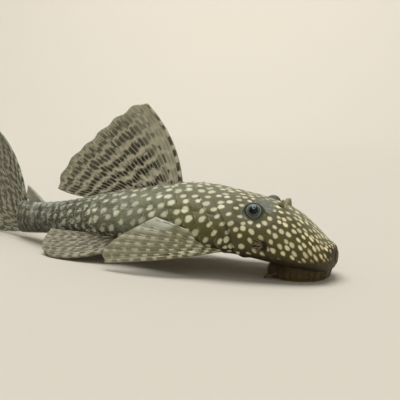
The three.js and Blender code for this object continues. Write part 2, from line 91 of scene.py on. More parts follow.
# Gill line and plates. Angles are in degrees from the middle of the back. The gill cover's rim and the
# groove behind it are as high and deep as crown says, and on the flank by as much more as flank says.
GILL_SIDE = 22.3
GILL_CROWN = 9.7
GILL_BELLY = 2.0
GILL_RIM = {"crown": 0.12, "flank": 0.26, "width": 1.2}
GILL_GROOVE = {"crown": 0.1, "flank": 0.3, "width": 0.16}  # this width is counted in plates
FLANK = (50, 85, 140, 165)
ARMOUR_END = (136, 150)
SEAM = 0.3
PLATES = 24
ROW_EDGES = np.array([0, 36, 62, 90, 116, 142])
ROW_COLUMNS = (24, 24, 18, 16, 13)
BELLY_COLUMNS = 17
PLATE_SLANT = 2.2
PLATE_BULGE = 0.4
PLATE_STEPS = (0, 0.06, 0.16, 0.28, 0.4, 0.52, 0.64, 0.75, 0.85, 0.93, 0.985)

# Rows of spots are shifted by half a spot. These turn them into a square lattice, and back.
LATTICE_STEP = 0.9306
LATTICE_SHIFT = 0.5373
LATTICE_ROW = 1.0746

# Eyes, nostrils and cheek pockets. The lids rise round the eyeball in a mound, which faces up by so many
# degrees. They end at opening degrees from the middle of the pupil, and the upper one droop degrees nearer.
EYE = {"radius": 2.2, "s": 18.75, "y": 10.1, "z": 16.25, "tilt": 20, "ahead": 12, "cornea": 0.14}
LIDS = {"near": 7, "mound": 50, "opening": 74, "droop": 28, "rim": 0.12, "from": 2.5, "to": 5.2}
BROW = {"s": 17.3, "half": 2.3, "flare": 0.9, "end": (34, 46)}
NOSTRIL = {"s": 13.5, "angle": 13, "radius": 0.75, "depth": 1.5}
CHEEK = {"s": 15.4, "angle": 90, "length": 2.2, "height": 1.35, "depth": 1.1}

# Sucker mouth
DISC = {"s": 9.2, "length": 7.6, "width": 8.6}
OPENING = {"s": 7.6, "length": 2.0, "width": 4.6, "depth": 1.2}
MOUTH_GRID = (91, 161)
BARBEL = ((12.4, 6.8, 1.5), (14.8, 8.1, 1.2), (16.0, 8.3, 0.5))

# Teeth, cheek spines, snout bristles and prickles: how many lie in a row, and their length and radius
TEETH = {"count": 14, "length": 0.55, "radius": 0.06}
SPINES = {"count": 11, "length": 2.9, "radius": 0.12}
BRISTLES = {"count": 9, "length": 0.85, "radius": 0.19}
PRICKLES = {"count": 9, "length": 0.42, "radius": 0.055}

# Fins. roots and tips run from the first ray to the last, bow is how the first and last ray swell, and
# ridge, spine and sag say how far a ray, the first ray and the skin between two rays stand out.
FINS = {
    "dorsal": {
        "rays": 8,
        "roots": ((40.2, 0, 20.2), (50, 0, 18.4), (62.6, 0, 15.6)),
        "tips": ((51.3, 0.3, 41.3), (54.9, 0.6, 40.9), (59.5, 0.9, 38.5), (63.8, 1.1, 35.9),
                 (68, 1.1, 32.8), (71.6, 0.9, 29.9), (75.4, 0.6, 27.2), (79.4, 0.4, 23.3),
                 (82, 0.2, 19.4), (82.3, 0, 16.4)),
        "bow": ((-2, 0.5, 0.9), (0.5, 0.2, -0.9)),
        "ridge": 0.22, "spine": 0.5, "sag": 0.2,
    },
    "caudal": {
        "rays": 16,
        "roots": ((99.4, 0, 10.3), (100.2, 0, 6.2), (99.4, 0, 2)),
        "tips": ((126, 0.8, 32.5), (124.6, 0.8, 25.6), (125.2, 0.3, 18.4), (127, -0.8, 10.2),
                 (132, -2.4, 0.3)),
        "bow": ((-2.8, 0.5, 2.1), (0, -1.4, -0.9)),
        "ridge": 0.2, "spine": 0.4, "sag": 0.1,
    },
    "adipose": {
        "rays": 2,
        "roots": ((87.6, 0, 11.2), (95, 0, 10.2)),
        "tips": ((98.6, 0, 16), (99.8, 0, 12.2)),
        "bow": ((0, 0, 0.4), (0, 0, 0.2)),
        "ridge": 0.1, "spine": 0.4, "sag": 0,
    },
    "anal": {
        "rays": 5,
        "roots": ((69.4, 0, 5.8), (76.4, 0, 5.2)),
        "tips": ((78.6, 0.5, 0.8), (82.2, 0.3, 1.1), (85.2, 0, 2.6)),
        "bow": ((0, 0, -0.5), (0, 0, 0)),
        "ridge": 0.12, "spine": 0.2, "sag": 0.05,
    },
    "pectoral": {
        "rays": 7,
        "roots": ((24.4, 11.7, 6.6), (25.9, 12.4, 7.7), (27.4, 12.9, 9)),
        "tips": ((52, 17.2, 1.7), (53, 16.6, 4.1), (51, 16, 7), (47.2, 15, 10), (41.6, 14.2, 13.8)),
        "bow": ((-0.3, 3.4, 0.1), (0, 1.8, 0.4)),
        "ridge": 0.22, "spine": 0.75, "sag": 0.35,
    },
    "pelvic": {
        "rays": 6,
        "roots": ((48.6, 7.2, 6.2), (50.6, 6.4, 6.8), (53, 5.6, 7.2)),
        "tips": ((70.4, 13.6, 0.3), (74, 12.2, 1.2), (76.4, 9.6, 3.6), (76.2, 7.2, 6.4)),
        "bow": ((0, 2.4, -1.5), (0, 0.9, 0)),
        "ridge": 0.22, "spine": 0.45, "sag": 0.3,
    },
}
RAY_TAPER = 0.6  # how much thinner a ray is at its tip
RAY_NARROWS = 0.55  # how much narrower it is there
SCALLOP = 0.018  # how far the skin's edge is cut in between two rays
FORKS = ((0.42, 0.26), (0.7, 0.13))  # a ray forks at this share of its length and spreads by this much
FORK_END = 1.15
FIN_REAR, FIN_TIP, FIN_ROOT = 0.4, 0.5, 0.3  # how far in from these edges the skin grows to its thickness
FLOOR_GAP = 0.02


def linear(code):
    """Linear colour from an sRGB hex value."""
    channels = [int(code[i:i + 2], 16) / 255 for i in (1, 3, 5)]
    return (*[c / 12.92 if c <= 0.04045 else ((c + 0.055) / 1.055) ** 2.4 for c in channels], 1.0)


def per(millimetres):
    """The scale of a pattern whose grains or cells are this far apart."""
    return 1 / (millimetres * MM)


# Properties: sizes are given in millimetres and angles in degrees.

def length(name, description, millimetres):
    return bpy.props.FloatProperty(
        name=name, description=description, default=millimetres * MM, min=0, precision=5,
        subtype="DISTANCE", unit="LENGTH")


def colour(name, description, code):
    return bpy.props.FloatVectorProperty(
        name=name, description=description, default=linear(code), min=0, max=1, size=4,
        subtype="COLOR")


def power(name, description, watts):
    return bpy.props.FloatProperty(name=name, description=description, default=watts, min=0, unit="POWER")


def rotation(name, description, degrees):
    return bpy.props.FloatProperty(
        name=name, description=description, default=math.radians(degrees), subtype="ANGLE", unit="ROTATION")


class PlecoSizes(bpy.types.PropertyGroup):
    """Sizes of the fish's finer shapes and markings"""
    spot_snout: length("Snout spots", "Distance between two spots on the snout", 1.75)
    spot_head: length("Head spots", "Distance between two spots on the cheek", 2.05)
    spot_trunk: length("Trunk spots", "Distance between two spots on the trunk", 2.8)
    plate_rise: length("Plate rise", "How far a plate's rear edge stands over the next plate", 0.27)
    row_groove: length("Row groove", "Depth of the line between two rows of plates", 0.12)
    lid: length("Eyelid", "How far the skin stands out round the eyeball", 0.16)
    membrane: length("Fin skin", "Thickness of the skin between two fin rays", 0.26)
    ray_width: length("Ray width", "Width of a fin ray at its root", 0.6)
    grain: length("Skin grain", "Size of the small prickles all over the plates", 0.4)


class PlecoColours(bpy.types.PropertyGroup):
    """Main colours of the fish"""
    snout: colour("Snout", "Bare rim of the snout", "#37290b")
    head: colour("Head", "Skin between the spots of the head", "#514a22")
    trunk: colour("Trunk", "Skin between the spots of the trunk", "#615e37")
    rear: colour("Rear", "Skin of the rear flank", "#7b7e68")
    peduncle: colour("Tail root", "Skin in front of the tail fin", "#696c5f")
    brow: colour("Brow", "Bare skin between the eyes", "#68685a")
    belly: colour("Belly", "Bare skin of the belly", "#bfb593")
    spot_head: colour("Head spots", "Spots of the head", "#e2d6a8")
    spot_trunk: colour("Trunk spots", "Spots of the trunk", "#d5d3b4")
    spot_rear: colour("Rear spots", "Pale patches of the rear flank", "#dde0ce")
    iris: colour("Iris", "Blue grey of the iris", "#647066")
    pupil: colour("Pupil", "The pupil", "#070b08")
    # The lips' rim colour is a brown painted darker than the flesh, as shade.
    lips: colour("Lips", "Rim of the sucker mouth", "#5c4a24")


class PlecoStage(bpy.types.PropertyGroup):
    """Floor, lights and camera"""
    floor: colour("Floor", "Colour of the floor", "#cfc8ba")
    key: power("Key light", "Power of the soft light overhead", 23.3)
    fill: power("Fill light", "Power of the soft light beside the camera", 1.3)
    backdrop: power("Backdrop light", "Power of the soft light on the backdrop", 12)
    azimuth: rotation("Camera azimuth", "Turn of the camera round the fish", 17.7)
    elevation: rotation("Camera elevation", "Angle by which the camera looks down", 6)
    roll: rotation("Camera roll", "Turn of the camera about its own axis", -2.2)
    distance: length("Camera distance", "Distance from the camera to the point it looks at", 220)
    lens: bpy.props.FloatProperty(
        name="Lens", description="Focal length of the camera in millimetres", default=73.7, min=1)


# The shape of the fish

def smoothstep(low, high, value):
    t = np.clip((np.asarray(value, float) - low) / (high - low), 0, 1)
    return t * t * (3 - 2 * t)


def mix(a, b, t):
    return a + (b - a) * t


def place(s, y, z):
    """Points of the straight fish laid on the curve of its body, in metres."""
    s, y, z = np.broadcast_arrays(np.asarray(s, float), y, z)
    turn = np.clip(s - BEND_START, 0, BODY_LENGTH - BEND_START) / BEND_RADIUS
    beyond = np.maximum(0, s - BODY_LENGTH)
    x = LIP_MIDDLE - np.minimum(s, BEND_START) - BEND_RADIUS * np.sin(turn) - beyond * np.cos(turn)
    across = BEND_RADIUS * (1 - np.cos(turn)) + beyond * np.sin(turn)
    return np.stack([x + y * np.sin(turn), across + y * np.cos(turn), z], -1) * MM


def section(s):
    """The six smooth values of the section at s, which follow s in the table of sections."""
    s = np.clip(np.asarray(s, float), 0, BODY_LENGTH + 1)
    known, values = SECTIONS[:, 0], SECTIONS[:, 1:]
    last = len(known) - 1
    k = np.clip(np.searchsorted(known, s) - 1, 0, last - 1)
    before, after = np.maximum(k - 1, 0), np.minimum(k + 2, last)
    width = (known[k + 1] - known[k])[..., None]
    t = (s - known[k])[..., None] / width
    start = (values[k + 1] - values[before]) / (known[k + 1] - known[before])[..., None]
    end = (values[after] - values[k]) / (known[after] - known[k])[..., None]
    smooth = ((2 * t**3 - 3 * t**2 + 1) * values[k] + (t**3 - 2 * t**2 + t) * width * start
              + (-2 * t**3 + 3 * t**2) * values[k + 1] + (t**3 - t**2) * width * end)
    return np.moveaxis(smooth, -1, 0)


def skin_point(s, angle, lift=0.0):
    """y and z on the skin at s and the angle from the back, and y and z of the way outwards there."""
    top, bottom, half, wide, upper, lower = section(s)
    above = np.cos(angle) >= 0
    height = np.where(above, top - wide, wide - bottom)
    exponent = 2 / np.where(above, upper, lower)
    across = np.sign(np.sin(angle)) * np.abs(np.sin(angle)) ** exponent * half
    up = np.sign(np.cos(angle)) * np.abs(np.cos(angle)) ** exponent * height
    ny, nz = across / half**2, up / height**2
    size = np.maximum(np.hypot(ny, nz), TINY)
    ny, nz = ny / size, nz / size
    return across + ny * lift, wide + up + nz * lift, ny, nz


def on_skin(s, angle, lift=0.0):
    """The place on or over the skin, in metres."""
    return place(s, *skin_point(s, angle, lift)[:2])


def gill_line(angle):
    """Where the gill line lies: furthest back on the crown."""
    c = np.cos(angle)
    return GILL_SIDE + np.where(c > 0, GILL_CROWN * np.maximum(c, 0) ** 1.5, GILL_BELLY * c)


def plate_edge(u, angle, plate):
    """Where the rear edge of plate number u lies. Its slant sets in over the first four plates and ends
    over the last three, and the middle of each plate, where plate is 1, bulges to the rear."""
    easing = np.clip(np.minimum(u / 4, (PLATES - u) / 3), 0, 1)
    swing = PLATE_SLANT * np.sin(angle) ** 2 * easing
    bulge = PLATE_BULGE * plate * np.clip(np.minimum(u, PLATES - u), 0, 1)
    return mix(gill_line(angle) + SEAM, BODY_LENGTH, u / PLATES) + swing + bulge


def rows_along():
    """The rows of points from the snout's tip (-1 to 0) over the head (to 1) and 24 plates to the tail."""
    tip = np.linspace(-1, 0, 6)[:-1]
    # In millimetres: closest at the snout's tip, and close again from the nostrils to the gill line
    head = np.concatenate([np.arange(0, 3, 0.1), np.arange(3, 13, 0.2), np.arange(13, GILL_SIDE, 0.13)])
    plates = 1 + (np.arange(PLATES)[:, None] + np.array(PLATE_STEPS)).ravel()
    return np.concatenate([tip, head / GILL_SIDE, plates, 1 + PLATES + np.linspace(0, 1, 13)])


def columns_round():
    """The angles of points round the body, from the belly over the left side, back and right side."""
    spans = list(zip(ROW_EDGES[:-1], ROW_EDGES[1:], ROW_COLUMNS)) + [(ROW_EDGES[-1], 180, BELLY_COLUMNS)]
    half = np.concatenate([np.linspace(a, b, n, endpoint=False) for a, b, n in spans] + [[180]])
    return np.radians(np.concatenate([half[::-1], -half[1:]]))


def row_share(angle):
    """1 along the middle of a row of plates, 0 on the line between two rows and on the bare belly."""
    degrees = np.abs(np.degrees(angle))
    k = np.clip(np.searchsorted(ROW_EDGES, degrees, side="right") - 1, 0, len(ROW_EDGES) - 2)
    share = (degrees - ROW_EDGES[k]) / (ROW_EDGES[k + 1] - ROW_EDGES[k])
    return np.where(degrees < ROW_EDGES[-1], 1 - np.abs(2 * share - 1) ** 4, 0)


def eye_frame(side):
    """Middle of an eyeball, the way it looks, and the two directions across that."""
    tilt, ahead = math.radians(EYE["tilt"]), math.radians(EYE["ahead"])
    middle = np.array([EYE["s"], side * EYE["y"], EYE["z"]])
    look = np.array([-math.sin(ahead) * math.cos(tilt), side * math.cos(ahead) * math.cos(tilt),
                     math.sin(tilt)])
    up = np.array([0, 0, 1]) - look * look[2]
    up /= np.linalg.norm(up)
    return middle, look, up, np.cross(look, up)


def raise_lids(points, side, lid):
    """Draws the skin round an eyeball up into its mound, with an opening over the eye."""
    middle, look, up, across = eye_frame(side)
    near = np.linalg.norm(points - middle, axis=-1) < LIDS["near"]
    p = points[near]
    mound = math.radians(LIDS["mound"])
    outward = np.array([0, side * math.cos(mound), math.sin(mound)])
    offset = p - middle
    flat = offset - (offset @ outward)[:, None] * outward
    reach = np.maximum(np.linalg.norm(flat, axis=1), TINY)
    radius = EYE["radius"] + lid
    turn = reach / radius
    ball = np.cos(turn)[:, None] * outward + (np.sin(turn) / reach)[:, None] * flat
    high = ball @ up
    wide = ball @ across
    aim = np.degrees(np.arccos(np.clip(ball @ look, -1, 1)))
    upward = high / np.maximum(np.hypot(high, wide), TINY)
    # The upper lid droops over the eye. Inside the opening the skin lies hidden in the eyeball.
    opening = LIDS["opening"] - LIDS["droop"] * np.maximum(0, upward) ** 1.5
    hidden = 1 - smoothstep(opening - 4, opening + 3, aim)
    rim = np.exp(-((aim - opening - 8) / 8) ** 2) * LIDS["rim"]
    lifted = middle + ball * (radius + rim - (lid + 0.5) * hidden)[:, None]
    share = (1 - smoothstep(LIDS["from"], LIDS["to"], reach))[:, None]
    points[near] = mix(p, lifted, share)


def angle_at(s, y, z):
    """The angle from the back at a place on or over the skin."""
    top, bottom, half, wide, upper, lower = section(s)
    above = z >= wide
    height = np.where(above, top - wide, wide - bottom)
    exponent = np.where(above, upper, lower) / 2
    across = np.sign(y) * np.abs(y / half) ** exponent
    up = np.sign(z - wide) * np.abs((z - wide) / height) ** exponent
    return np.arctan2(across, up)


def spot_lattice(s, angle, sizes):
    """Where a place lies in a lattice of spots: the count of spots from the snout, and from the middle of
    the back, turned into the square lattice that stands for one with shifted rows."""
    steps, turns = np.linspace(0, BODY_LENGTH + 4, 400), np.linspace(-math.pi, math.pi, 361)
    along, turn = np.meshgrid(steps, turns, indexing="ij")
    y, z, _, _ = skin_point(along, turn)
    arc = np.cumsum(np.hypot(np.diff(y, axis=1), np.diff(z, axis=1)), axis=1)
    arc = np.concatenate([np.zeros((len(steps), 1)), arc], axis=1)
    arc -= arc[:, [len(turns) // 2]]
    # The spots are counted along a line on the upper flank.
    guide = int(np.argmin(np.abs(turns - math.radians(60))))
    walk = np.sqrt(np.diff(steps) ** 2 + np.diff(y[:, guide]) ** 2 + np.diff(z[:, guide]) ** 2)
    snout, head, trunk = sizes.spot_snout / MM, sizes.spot_head / MM, sizes.spot_trunk / MM
    spacing = mix(mix(snout, head, smoothstep(3, 14, steps)), trunk, smoothstep(18, 34, steps))
    count = np.interp(s, steps, np.concatenate([[0], np.cumsum(walk / spacing[1:])]))
    arc /= spacing[:, None]
    row = np.clip(s / steps[-1], 0, 0.9999) * (len(steps) - 1)
    column = np.clip(angle / (2 * math.pi) + 0.5, 0, 0.9999) * (len(turns) - 1)
    i, j = row.astype(int), column.astype(int)
    across = mix(mix(arc[i, j], arc[i, j + 1], column - j), mix(arc[i + 1, j], arc[i + 1, j + 1], column - j),
                 row - i)
    return np.stack([LATTICE_STEP * count - LATTICE_SHIFT * across, LATTICE_ROW * across], -1)


def body_points(sizes):
    """All points of the skin, and what its material has to know at each of them."""
    p, angle = np.meshgrid(rows_along(), columns_round(), indexing="ij")
    share = row_share(angle)
    u = np.clip(p - 1, 0, PLATES)
    on_head = np.clip(p, 0, 1)
    head_s = on_head * GILL_SIDE + (gill_line(angle) - GILL_SIDE) * on_head**3
    # The tip of the snout bulges a little, and behind the last plates the skin is drawn out over the roots
    # of the tail fin, most on its sides.
    tip_turn = np.clip(-p, 0, 1) * math.pi / 2
    past = np.clip(p - 1 - PLATES, 0, 1)
    s = np.where(p <= 0, -0.35 * np.sin(tip_turn), np.where(p <= 1, head_s, plate_edge(u, angle, share)))
    s = s + past * (3 + 5 * np.sin(angle) ** 2)

    degrees = np.abs(np.degrees(angle))
    armour = 1 - smoothstep(*ARMOUR_END, degrees)
    flank = smoothstep(*FLANK[:2], degrees) * (1 - smoothstep(*FLANK[2:], degrees))
    # f runs from the front of a plate, 0, to its rear edge, which stands over the next plate.
    f = np.where(p >= 1 + PLATES, 0, u - np.floor(u))
    rise = sizes.plate_rise / MM * share * f**1.5
    groove = sizes.row_groove / MM * (1 - share) * smoothstep(0, 0.3, f) * smoothstep(0, 1, u)
    lift = np.where(p > 1, armour * (rise - groove), 0)
    # The gill cover's rim stands out before the gill line, and a groove lies behind it.
    before_gill = np.maximum((1 - p) * GILL_SIDE, 0)
    rim = (GILL_RIM["crown"] + GILL_RIM["flank"] * flank) * np.exp(-(before_gill / GILL_RIM["width"]) ** 2)
    gap = (GILL_GROOVE["crown"] + GILL_GROOVE["flank"] * flank) * np.exp(-(u / GILL_GROOVE["width"]) ** 2)
    lift += np.where(p <= 1, rim, -gap)

    y, z, ny, nz = skin_point(s, angle, lift)
    close = np.cos(tip_turn)
    y, z = y * close, mix(SNOUT_MIDDLE, z, close)
    y = y * (1 - past) ** 1.4
    z = mix(z, TAIL_MIDDLE, 0.1 * past**2)
    points = np.stack([s, y, z], -1)

    # Painted shade: dark is how dark the skin is painted in the nostril pits and the cheek pockets, and in
    # the groove behind the gill line.
    dark = np.zeros_like(s)
    for side, _ in SIDES:
        cy, cz, _, _ = skin_point(NOSTRIL["s"], side * math.radians(NOSTRIL["angle"]))
        away = np.sqrt((s - NOSTRIL["s"]) ** 2 + (y - cy) ** 2 + 0.3 * (z - cz) ** 2)
        pit = 1 - smoothstep(0.3, NOSTRIL["radius"] + 0.25, away)
        lip = np.exp(-((away - NOSTRIL["radius"] - 0.35) / 0.3) ** 2)
        aside = (side * angle - math.radians(CHEEK["angle"])) * 0.8 * section(s)[3]
        away = np.hypot((s - CHEEK["s"] - 0.5) / CHEEK["length"], aside / CHEEK["height"])
        hollow = np.clip(1 - away**2, 0, 1) ** 1.5
        sink = 0.2 * lip - NOSTRIL["depth"] * pit - CHEEK["depth"] * hollow
        points[..., 1] += ny * sink
        points[..., 2] += nz * sink
        dark = np.maximum(dark, np.maximum(pit, 0.95 * smoothstep(0.02, 0.4, hollow)))
    before_lids = points.copy()
    lid = np.zeros_like(s)
    for side, _ in SIDES:
        raise_lids(points, side, sizes.lid / MM)
        away = np.linalg.norm(points - eye_frame(side)[0], axis=-1)
        lid = np.maximum(lid, 1 - smoothstep(2.6, 3.4, away))

    raised = np.linalg.norm(points - before_lids, axis=-1) > 0.01
    spot_angle = np.where(raised, angle_at(*np.moveaxis(points, -1, 0)), angle)
    # The groove just behind the gill line on the flank is painted dark as shade.
    gill = np.where(p > 1, np.exp(-(u / 0.13) ** 2), 0) * flank
    edge = np.where(p > 1, smoothstep(0.86, 0.99, f) + (1 - smoothstep(0, 0.05, f)) * (u > 0.5), 0)
    # The bare brow lies between the eyes and is faint along the middle of the crown.
    reach = BROW["half"] + BROW["flare"] * (degrees / 40) ** 2
    brow = 1 - smoothstep(reach - 1.2, reach + 1.2, np.abs(s - BROW["s"]))
    brow *= 1 - smoothstep(*BROW["end"], degrees)
    brow *= mix(0.3, 1, smoothstep(3, 14, degrees))
    # Spots end lower on the trunk than on the snout, and the belly and the snout's rim have none.
    lowest = mix(mix(92, 104, smoothstep(2, 9, s)), 124, smoothstep(12, 26, s))
    bare = np.maximum(smoothstep(lowest - 5, lowest + 7, degrees), 1 - smoothstep(0.2, 1.0, s))
    maps = {
        "Skin": np.stack([s / 100, degrees / 180], -1),
        "Spots": spot_lattice(points[..., 0], spot_angle, sizes),
        "Bare": bare,
        "Brow": brow,
        "Lid": lid,
        "Edge": np.clip(edge, 0, 1) * share * armour,
        "Dark": np.maximum(dark, 0.8 * gill),
    }
    return place(*np.moveaxis(points, -1, 0)), maps


def chain(points, shares):
    """Places on the centripetal curve through some points, at shares of it from 0 to 1."""
    points = np.array(points, float)
    padded = np.vstack([2 * points[0] - points[1], points, 2 * points[-1] - points[-2]])
    spot = np.clip(shares, 0, 1) * (len(points) - 1)
    k = np.minimum(spot.astype(int), len(points) - 2)
    t = (spot - k)[:, None]
    a, b, c, d = padded[k], padded[k + 1], padded[k + 2], padded[k + 3]
    d0, d1, d2 = (np.maximum(np.linalg.norm(n - m, axis=1, keepdims=True) ** 0.5, TINY)
                  for m, n in ((a, b), (b, c), (c, d)))
    start = ((b - a) / d0 - (c - a) / (d0 + d1) + (c - b) / d1) * d1
    end = ((c - b) / d1 - (d - b) / (d1 + d2) + (d - c) / d2) * d1
    return (b + start * t + (-3 * b + 3 * c - 2 * start - end) * t**2
            + (2 * b - 2 * c + start + end) * t**3)


def inner_fin(fin):
    """A paired fin on the inner side of the bend, with its rays as long as those on the outer side."""
    start = max(BEND_START, fin["roots"][0][0])
    tips = tuple((s + max(0, s - start) * 2 * y / (BEND_RADIUS - y), y, z) for s, y, z in fin["tips"])
    return {**fin, "tips": tips}


def fin_points(fin, side, across, along, sizes):
    """Both faces of a fin with its forked rays, as a sheet that goes once round it."""
    rays = fin["rays"] - 1
    a = np.concatenate([np.linspace(0, 1, across + 1), np.linspace(1, 0, across + 1)[1:]])
    face = np.concatenate([np.ones(across), [0], -np.ones(across)])
    face[0] = 0
    b = 1 - (1 - np.linspace(0, 1, along + 1)) ** 1.1
    roots, tips = chain(fin["roots"], a), chain(fin["tips"], a)
    bow = mix(np.array(fin["bow"][0]), np.array(fin["bow"][1]), a[:, None])

    def smooth(share):
        swell = bow[:, None] * (4 * share * (1 - share))[..., None]
        p = mix(roots[:, None], tips[:, None], share[..., None]) + swell
        return place(p[..., 0], side * p[..., 1], p[..., 2]) / MM

    a_map, b_map = np.meshgrid(a, b, indexing="ij")
    interval = a_map * rays
    between = np.sin(math.pi * interval) ** 2
    share = b_map * (1 - SCALLOP * between)
    middle = smooth(share)
    front = middle[:across + 1]
    down = np.gradient(front, axis=0)
    out = np.gradient(front, axis=1)
    facing = np.cross(down, out)
    facing /= np.maximum(np.linalg.norm(facing, axis=2, keepdims=True), TINY)
    facing = np.concatenate([facing, facing[-2::-1]])
    spacing = np.linalg.norm(down, axis=2) * across / rays
    spacing = np.concatenate([spacing, spacing[-2::-1]])
    middle += facing * (fin["sag"] * between * b_map)[..., None]

    # How far the nearest branch of a ray is, counted in rays. A ray forks twice, but not the spine.
    nearest = np.full(a_map.shape, np.inf)
    whole = np.clip(np.round(interval), 0, rays)
    spreads = [spread * smoothstep(start, FORK_END, b_map) * (whole > 0) for start, spread in FORKS]
    for one, two in ((-1, -1), (-1, 1), (1, -1), (1, 1)):
        nearest = np.minimum(nearest, np.abs(interval - whole - one * spreads[0] - two * spreads[1]))
    width = sizes.ray_width / MM / 2 * (1 - RAY_NARROWS * b_map)
    ridge = np.exp(-(nearest * spacing / width) ** 2) * (interval > 0.5)
    taper = 1 - RAY_TAPER * b_map
    skin = sizes.membrane / MM / 2
    spine = fin["spine"] * taper + skin
    offset = interval * spacing - spine
    round_spine = np.sqrt(np.maximum(spine**2 - offset**2, 0))
    # The rear edge and the tips are rounded off, and the root thins out in the body.
    rim = np.sqrt(1 - (1 - np.clip((rays - interval) * spacing / FIN_REAR, 0, 1)) ** 2)
    thickness = np.maximum(skin * rim * (interval > 0), round_spine) + fin["ridge"] * taper * ridge * rim
    reach = np.linalg.norm(tips - roots, axis=1)[:, None]
    thickness *= np.sqrt(1 - (1 - np.clip((1 - b_map) * reach / FIN_TIP, 0, 1)) ** 2)
    thickness *= np.clip(b_map * reach / FIN_ROOT, 0, 1)
    points = middle + facing * (thickness * face[:, None])[..., None]
    points[..., 2] = np.maximum(points[..., 2], FLOOR_GAP)
    maps = {
        "Rays": np.stack([interval, b_map * reach], -1),
        "Ray": np.maximum(ridge, np.clip(round_spine / spine, 0, 1)),
        "Out": b_map,
    }
    return points * MM, maps


# Meshes

def mesh_from(bm, closed=True):
    """A smooth mesh. A closed one faces outwards, and the open floor faces up into its bowl."""
    bmesh.ops.recalc_face_normals(bm, faces=bm.faces)
    if (bm.calc_volume(signed=True) < 0) == closed:
        bmesh.ops.reverse_faces(bm, faces=bm.faces)
    mesh = bpy.data.meshes.new("shape")
    bm.to_mesh(mesh)
    bm.free()
    mesh.polygons.foreach_set("use_smooth", [True] * len(mesh.polygons))
    return mesh


def grid_mesh(places, maps, closed=True):
    """A mesh from a grid of quads moved to places[i, j], with what the maps say at each corner."""
    across, along = places.shape[0] - 1, places.shape[1] - 1
    bm = bmesh.new()
    bm.loops.layers.uv.new("Grid")
    bmesh.ops.create_grid(bm, x_segments=across, y_segments=along, size=0.5, calc_uvs=True)
    for vert in bm.verts:
        vert.co = places[round((vert.co.x + 0.5) * across), round((vert.co.y + 0.5) * along)]
    bmesh.ops.remove_doubles(bm, verts=bm.verts, dist=0.002 * MM)
    if closed:
        bmesh.ops.holes_fill(bm, edges=[edge for edge in bm.edges if edge.is_boundary])
    mesh = mesh_from(bm, closed)
    corners = np.zeros(len(mesh.loops) * 2, np.float32)
    mesh.uv_layers["Grid"].data.foreach_get("uv", corners)
    i = np.rint(corners[0::2] * across).astype(int)
    j = np.rint(corners[1::2] * along).astype(int)
    for key, values in maps.items():
        picked = np.ascontiguousarray(values[i, j], np.float32)
        if values.ndim == 3:
            mesh.uv_layers.new(name=key).data.foreach_set("uv", picked.ravel())
        else:
            mesh.attributes.new(key, "FLOAT", "CORNER").data.foreach_set("value", picked)
    mesh.uv_layers.remove(mesh.uv_layers["Grid"])
    return mesh


def show(name, data):
    """An object in the scene."""
    thing = bpy.data.objects.new(name, data)
    bpy.context.scene.collection.objects.link(thing)
    return thing


def finish_piece(name, mesh, material, slot, *nodes):
    """Shows a mesh as a piece that stands for CAD nodes."""
    if not mesh.polygons:
        raise RuntimeError(f"{name} has no faces")
    mesh.name = name
    mesh.materials.append(material)
    piece = show(name, mesh)
    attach(piece, "root")
    if nodes:
        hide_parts(*nodes)


def turned_to(direction):
    """The turn that points +Z along a direction."""
    return Vector(direction).to_track_quat("Z", "Y").to_matrix().to_4x4()


def vary(draw, share):
    """A random factor that is at most this share from 1."""
    return 1 + share * draw.uniform(-1, 1)


def add_prickle(bm, root, tip, radius, sides=5):
    """One straight pointed prickle, from its root to its tip."""
    root, tip = Vector(root), Vector(tip)
    along = tip - root
    bmesh.ops.create_cone(
        bm, cap_ends=True, segments=sides, radius1=radius, radius2=radius * 0.08,
        depth=along.length, matrix=Matrix.Translation((root + tip) / 2) @ turned_to(along))


def add_hook(bm, root, bend, tip, radius, sides=7, blunt=0.0):
    """One bent spine through three places, pointed or blunt."""
    stops = [Vector(root), Vector(bend), Vector(tip)]
    trail = [stops[0].lerp(stops[1], t).lerp(stops[1].lerp(stops[2], t), t)
             for t in (0, 0.2, 0.4, 0.6, 0.8, 0.93, 1)]
    sizes = [radius * mix(k, 1, blunt) for k in (1, 0.95, 0.85, 0.68, 0.42, 0.2)]
    sizes.append(radius * max(0.04, 0.6 * blunt))
    last = len(trail) - 1
    turns = [turned_to(trail[max(k - 1, 0)] - trail[min(k + 1, last)]) for k in range(last + 1)]
    first = bmesh.ops.create_circle(
        bm, cap_ends=True, segments=sides, radius=sizes[0], matrix=Matrix.Translation(trail[0]) @ turns[0])
    ring = list(dict.fromkeys(edge for vert in first["verts"] for edge in vert.link_edges))
    for k in range(1, last + 1):
        grown = bmesh.ops.extrude_edge_only(bm, edges=ring)["geom"]
        verts = [part for part in grown if isinstance(part, bmesh.types.BMVert)]
        ring = [part for part in grown if isinstance(part, bmesh.types.BMEdge)]
        change = (Matrix.Translation(trail[k]) @ turns[k] @ Matrix.Scale(sizes[k] / sizes[k - 1], 4)
                  @ turns[k - 1].inverted() @ Matrix.Translation(-trail[k - 1]))
        bmesh.ops.transform(bm, matrix=change, verts=verts)
    bmesh.ops.holes_fill(bm, edges=ring)


# Materials. In the maps that they read, "Skin" holds the distance behind the snout in tenths of a metre and
# the way down from the back, 0, to the belly, 1. "Rays" holds the number of the ray and the distance along
# it in millimetres, and "Out" goes from a fin's root, 0, to its edge, 1.

BLEND = {"data_type": "RGBA"}
TINT = {"data_type": "RGBA", "blend_type": "MULTIPLY"}
SMOOTH = {"interpolation_type": "SMOOTHSTEP"}
TIMES, PLUS, MINUS, TIMES_PLUS, LARGER, NEAREST, FOLD, DOT, SIZE = (
    {"operation": name} for name in (
        "MULTIPLY", "ADD", "SUBTRACT", "MULTIPLY_ADD", "MAXIMUM", "ROUND", "PINGPONG", "DOT_PRODUCT",
        "LENGTH"))


